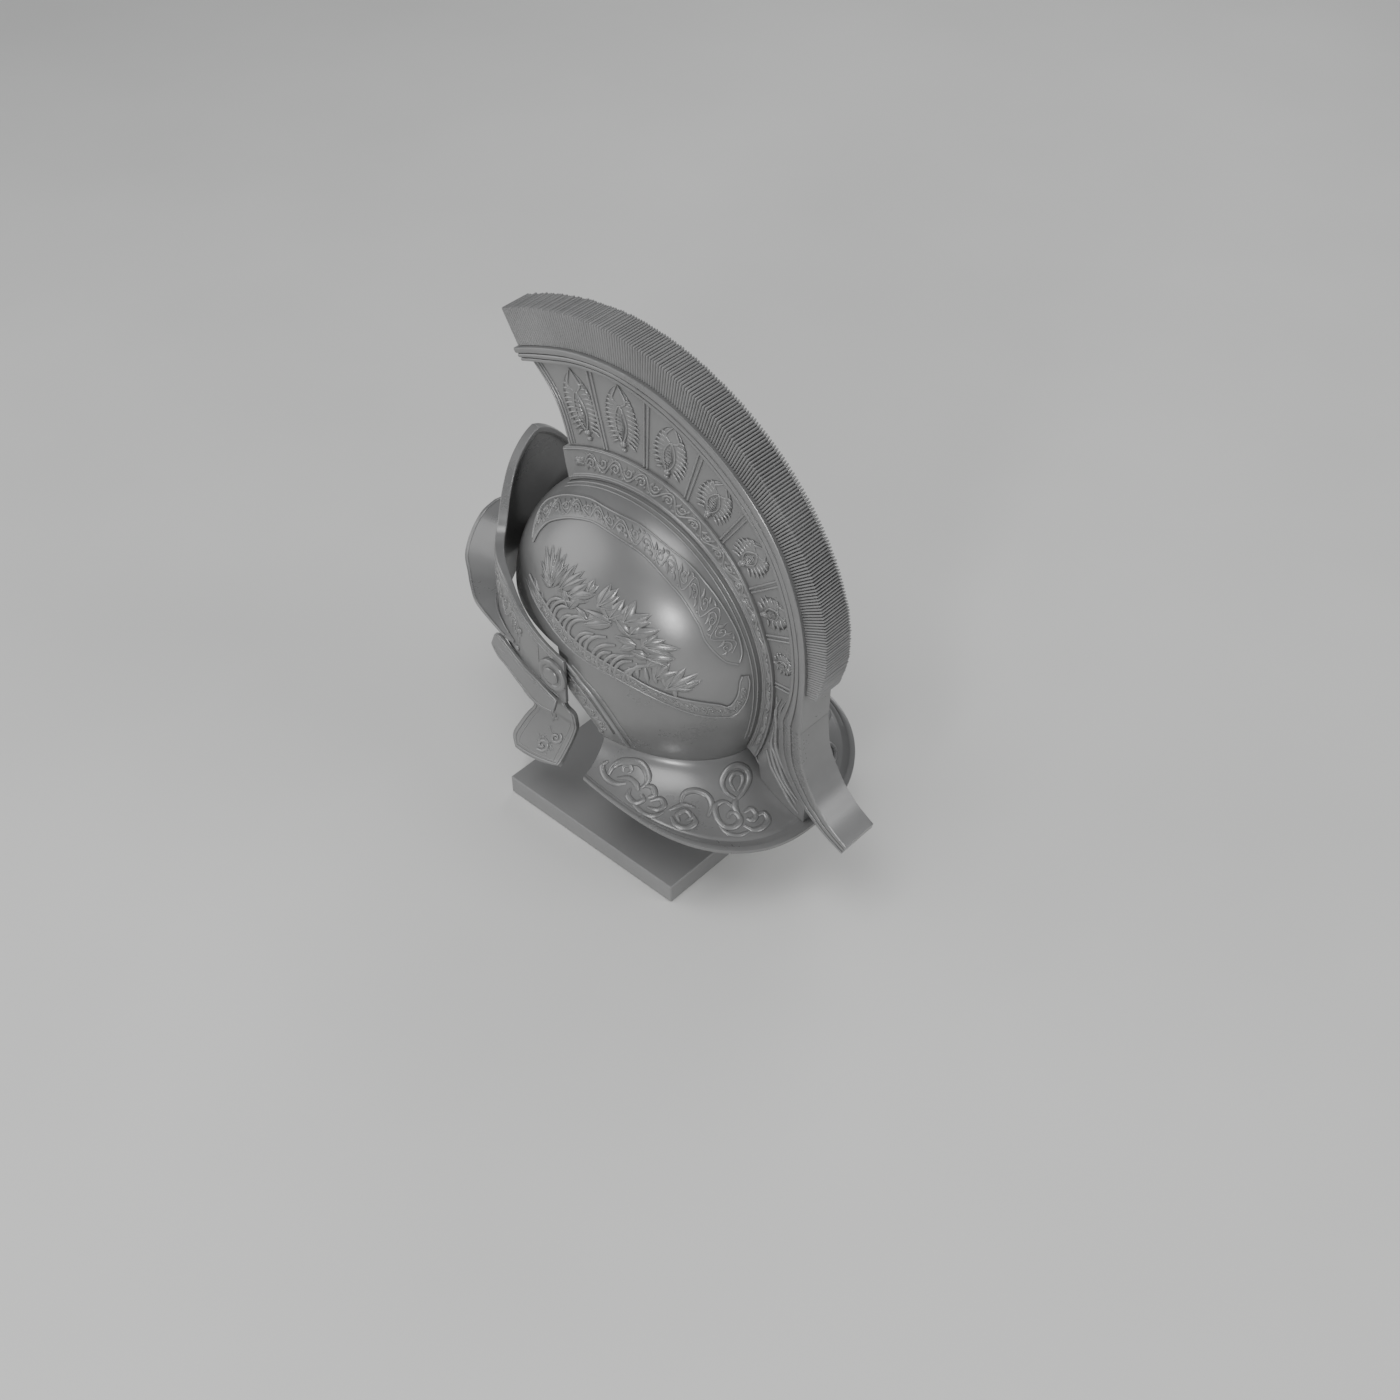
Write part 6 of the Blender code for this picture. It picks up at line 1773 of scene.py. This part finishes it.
class HELMET_OT_crest_brush(bpy.types.Operator):
    """Builds the brush out of locks that cross the crest"""
    bl_idname = "helmet.crest_brush"
    bl_label = "Crest brush"

    def execute(self, context):
        fibre = material_named("Cast bristle")
        look = sizes()
        angles = np.linspace(*BRUSH_ANGLES, 400)
        tops = np.array([polar(a, self.low(a) + DEPTHS["brush"] * CREST.at("brush", a)) for a in angles])
        run = np.concatenate(([0], np.cumsum(np.linalg.norm(np.diff(tops, axis=0), axis=1))))
        count = int(run[-1] / look.lock_pitch)
        pitch = run[-1] / count
        rows = []
        for k in range(count):
            angle = float(np.interp((k + 0.5) * pitch, run, angles))
            a = math.radians(angle)
            out = np.array((0.0, -math.cos(a), math.sin(a)))
            along = np.array((0.0, math.sin(a), math.cos(a)))
            low = self.low(angle)
            depth = DEPTHS["brush"] * CREST.at("brush", angle)
            y, z = polar(angle, low)
            rows.append(((0.0, y, z), out, along, BRUSH_HALF_WIDTH, pitch, depth))
        piece = place_parts("crest_brush_dressed", self.lock(fibre), rows, tree_named("Placed parts"), fibre,
                            look.ragged, look.seed)
        deliver("crest_brush_dressed", [piece], "base", ["crest_brush"])
        return {"FINISHED"}

    def low(self, angle):
        return band_edge(angle, ("frieze", "web")) + 2 * GAP + DEPTHS["rail"] * CREST.at("rail", angle)

    def lock(self, fibre):
        """One lock of unit size: a toothed slab across the crest, on a lower core that fills the gap."""
        corner, shape = 0.07, Shape()
        slab = ((-0.37, 0.085), (-0.2, 0.02), (0.0, 0.0), (0.2, 0.02), (0.37, 0.085))
        core = ((-0.53, 0.15), (0.0, 0.15), (0.53, 0.15))
        for layers in (slab, core):
            rings = []
            for layer, inset in layers:
                wide, tall = 1 - inset, 1 - inset
                quarter = [(wide - corner * (1 - math.cos(a)), tall - corner * 0.6 * (1 - math.sin(a)))
                           for a in np.linspace(math.pi / 2, 0, 4)] + [(wide, 0.5 * tall), (wide, 0.0)]
                ring = [(-x, layer, z) for x, z in reversed(quarter)] + [(0.0, layer, tall)]
                rings.append(ring + [(x, layer, z) for x, z in quarter])
            shape.loft(rings)
        return shape.finish("lock", fibre, 50, merge=False)


class HELMET_OT_stand(bpy.types.Operator):
    """Gives the plinth its paint and builds the turned post inside the helmet"""
    bl_idname = "helmet.stand"
    bl_label = "Plinth and post"

    def execute(self, context):
        low, high = (np.array(tuple(corner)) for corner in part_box("post"))
        radius, head = 11 * MM, 26 * MM
        top, foot = high[2], low[2]
        profile = [(0.0, top)]
        dome_radius = 42 * MM
        for r in np.linspace(0, head, 9)[1:]:
            profile.append((r, top - dome_radius + math.sqrt(dome_radius ** 2 - r ** 2)))
        rim = profile[-1][1]
        profile += [(head, rim - 2 * MM), (head * 0.8, rim - 7 * MM), (radius, rim - 14 * MM),
                    (radius, foot + 6 * MM),
                    (radius + 3 * MM, foot + 3 * MM), (radius + 4 * MM, foot), (0.0, foot)]
        post = Shape()
        post.turn(profile, (0, BOWL_CENTRE[1], 0), (0, 0, 1), 40)
        deliver("post_dressed", [post.finish("post", material_named("Hinge steel"), 40)], "base", ["post"])
        slab = frame["nodes"]["plinth"]
        slab.data.materials.clear()
        slab.data.materials.append(material_named("Plinth paint"))
        return {"FINISHED"}


LIGHT_TARGET = (0.0, 0.0, 0.25)
CAMERA_PLACE = (0.9371, 0.9017, 1.3412)
CAMERA_WAY = (-0.5368, -0.4908, -0.6863)
CAMERA_ANGLE = 40.0


class HELMET_OT_stage(bpy.types.Operator):
    """Builds the studio: a pale round floor, soft lights and the camera"""
    bl_idname = "helmet.stage"
    bl_label = "Studio"

    def execute(self, context):
        scene = context.scene
        floor = Shape()
        floor.turn([(0.0, 0.0), (4.0, 0.0), (4.0, -0.004), (0.0, -0.004)], (0, 0, -0.0004), (0, 0, 1), 96)
        mat, shader, wire = new_material("Studio floor")
        place = wire.node("ShaderNodeTexCoord", output="Object")
        clouds = noise(wire, place, 3.0, 3.0)
        colour = finish().floor
        feed(shader, "Base Color", clouds.between(0.3, 0.7).mix(shade(colour, 0.97), shade(colour, 1.02)))
        shader.inputs["Roughness"].default_value = 0.7
        floor.finish("floor", mat, 40)
        target = Vector(LIGHT_TARGET)
        for name, at, size, power in (("key", (2.0, 0.92, 0.86), 0.3, finish().key),
                                      ("top", (0.9, 0.2, 2.6), 1.4, 34.0),
                                      ("front", (1.5, -2.0, 0.9), 1.7, 22.0),
                                      ("rear", (-0.9, 2.2, 1.4), 1.2, 22.0),
                                      ("far", (-2.0, -0.8, 1.6), 1.2, 14.0)):
            lamp = bpy.data.lights.new(name, "AREA")
            lamp.size = size
            lamp.energy = power
            obj = bpy.data.objects.new(name, lamp)
            obj.location = at
            obj.rotation_euler = (target - Vector(at)).to_track_quat("-Z", "Y").to_euler()
            scene.collection.objects.link(obj)
        world = bpy.data.worlds.new("Studio")
        world.use_nodes = True
        world.node_tree.nodes["Background"].inputs["Color"].default_value = (0.86, 0.88, 0.9, 1.0)
        world.node_tree.nodes["Background"].inputs["Strength"].default_value = 0.32
        scene.world = world
        lens = bpy.data.cameras.new("camera")
        lens.sensor_width = 36.0
        lens.angle = math.radians(CAMERA_ANGLE)
        lens.clip_start = 0.05
        camera = bpy.data.objects.new("camera", lens)
        camera.location = CAMERA_PLACE
        camera.rotation_euler = Vector(CAMERA_WAY).to_track_quat("-Z", "Y").to_euler()
        scene.collection.objects.link(camera)
        scene.camera = camera
        return {"FINISHED"}


STEPS = (HELMET_OT_stage, HELMET_OT_stand, HELMET_OT_bowl, HELMET_OT_neck_guard, HELMET_OT_brow_plate,
         HELMET_OT_ear_flanges, HELMET_OT_cheek_guards, HELMET_OT_fittings, HELMET_OT_crest_frieze,
         HELMET_OT_crest_web, HELMET_OT_crest_rail, HELMET_OT_crest_brush)


class HELMET_PT_panel(bpy.types.Panel):
    """Lists the helmet's sizes, finishes and pieces"""
    bl_idname = "HELMET_PT_panel"
    bl_label = "Helmet"
    bl_space_type = "VIEW_3D"
    bl_region_type = "UI"
    bl_category = "Helmet"

    def draw(self, context):
        layout = self.layout
        for group in (context.scene.helmet_sizes, context.scene.helmet_finish):
            box = layout.box()
            for key in group.__annotations__:
                box.prop(group, key)
        for step in STEPS:
            layout.operator(step.bl_idname)


CLASSES = (HelmetSizes, HelmetFinish) + STEPS + (HELMET_PT_panel,)


def register():
    for cls in CLASSES:
        bpy.utils.register_class(cls)
    bpy.types.Scene.helmet_sizes = bpy.props.PointerProperty(type=HelmetSizes)
    bpy.types.Scene.helmet_finish = bpy.props.PointerProperty(type=HelmetFinish)


def unregister():
    del bpy.types.Scene.helmet_finish
    del bpy.types.Scene.helmet_sizes
    for cls in reversed(CLASSES):
        bpy.utils.unregister_class(cls)


def main():
    register()
    for step in STEPS:
        category, name = step.bl_idname.split(".")
        getattr(getattr(bpy.ops, category), name)()


if __name__ == "__main__":
    main()
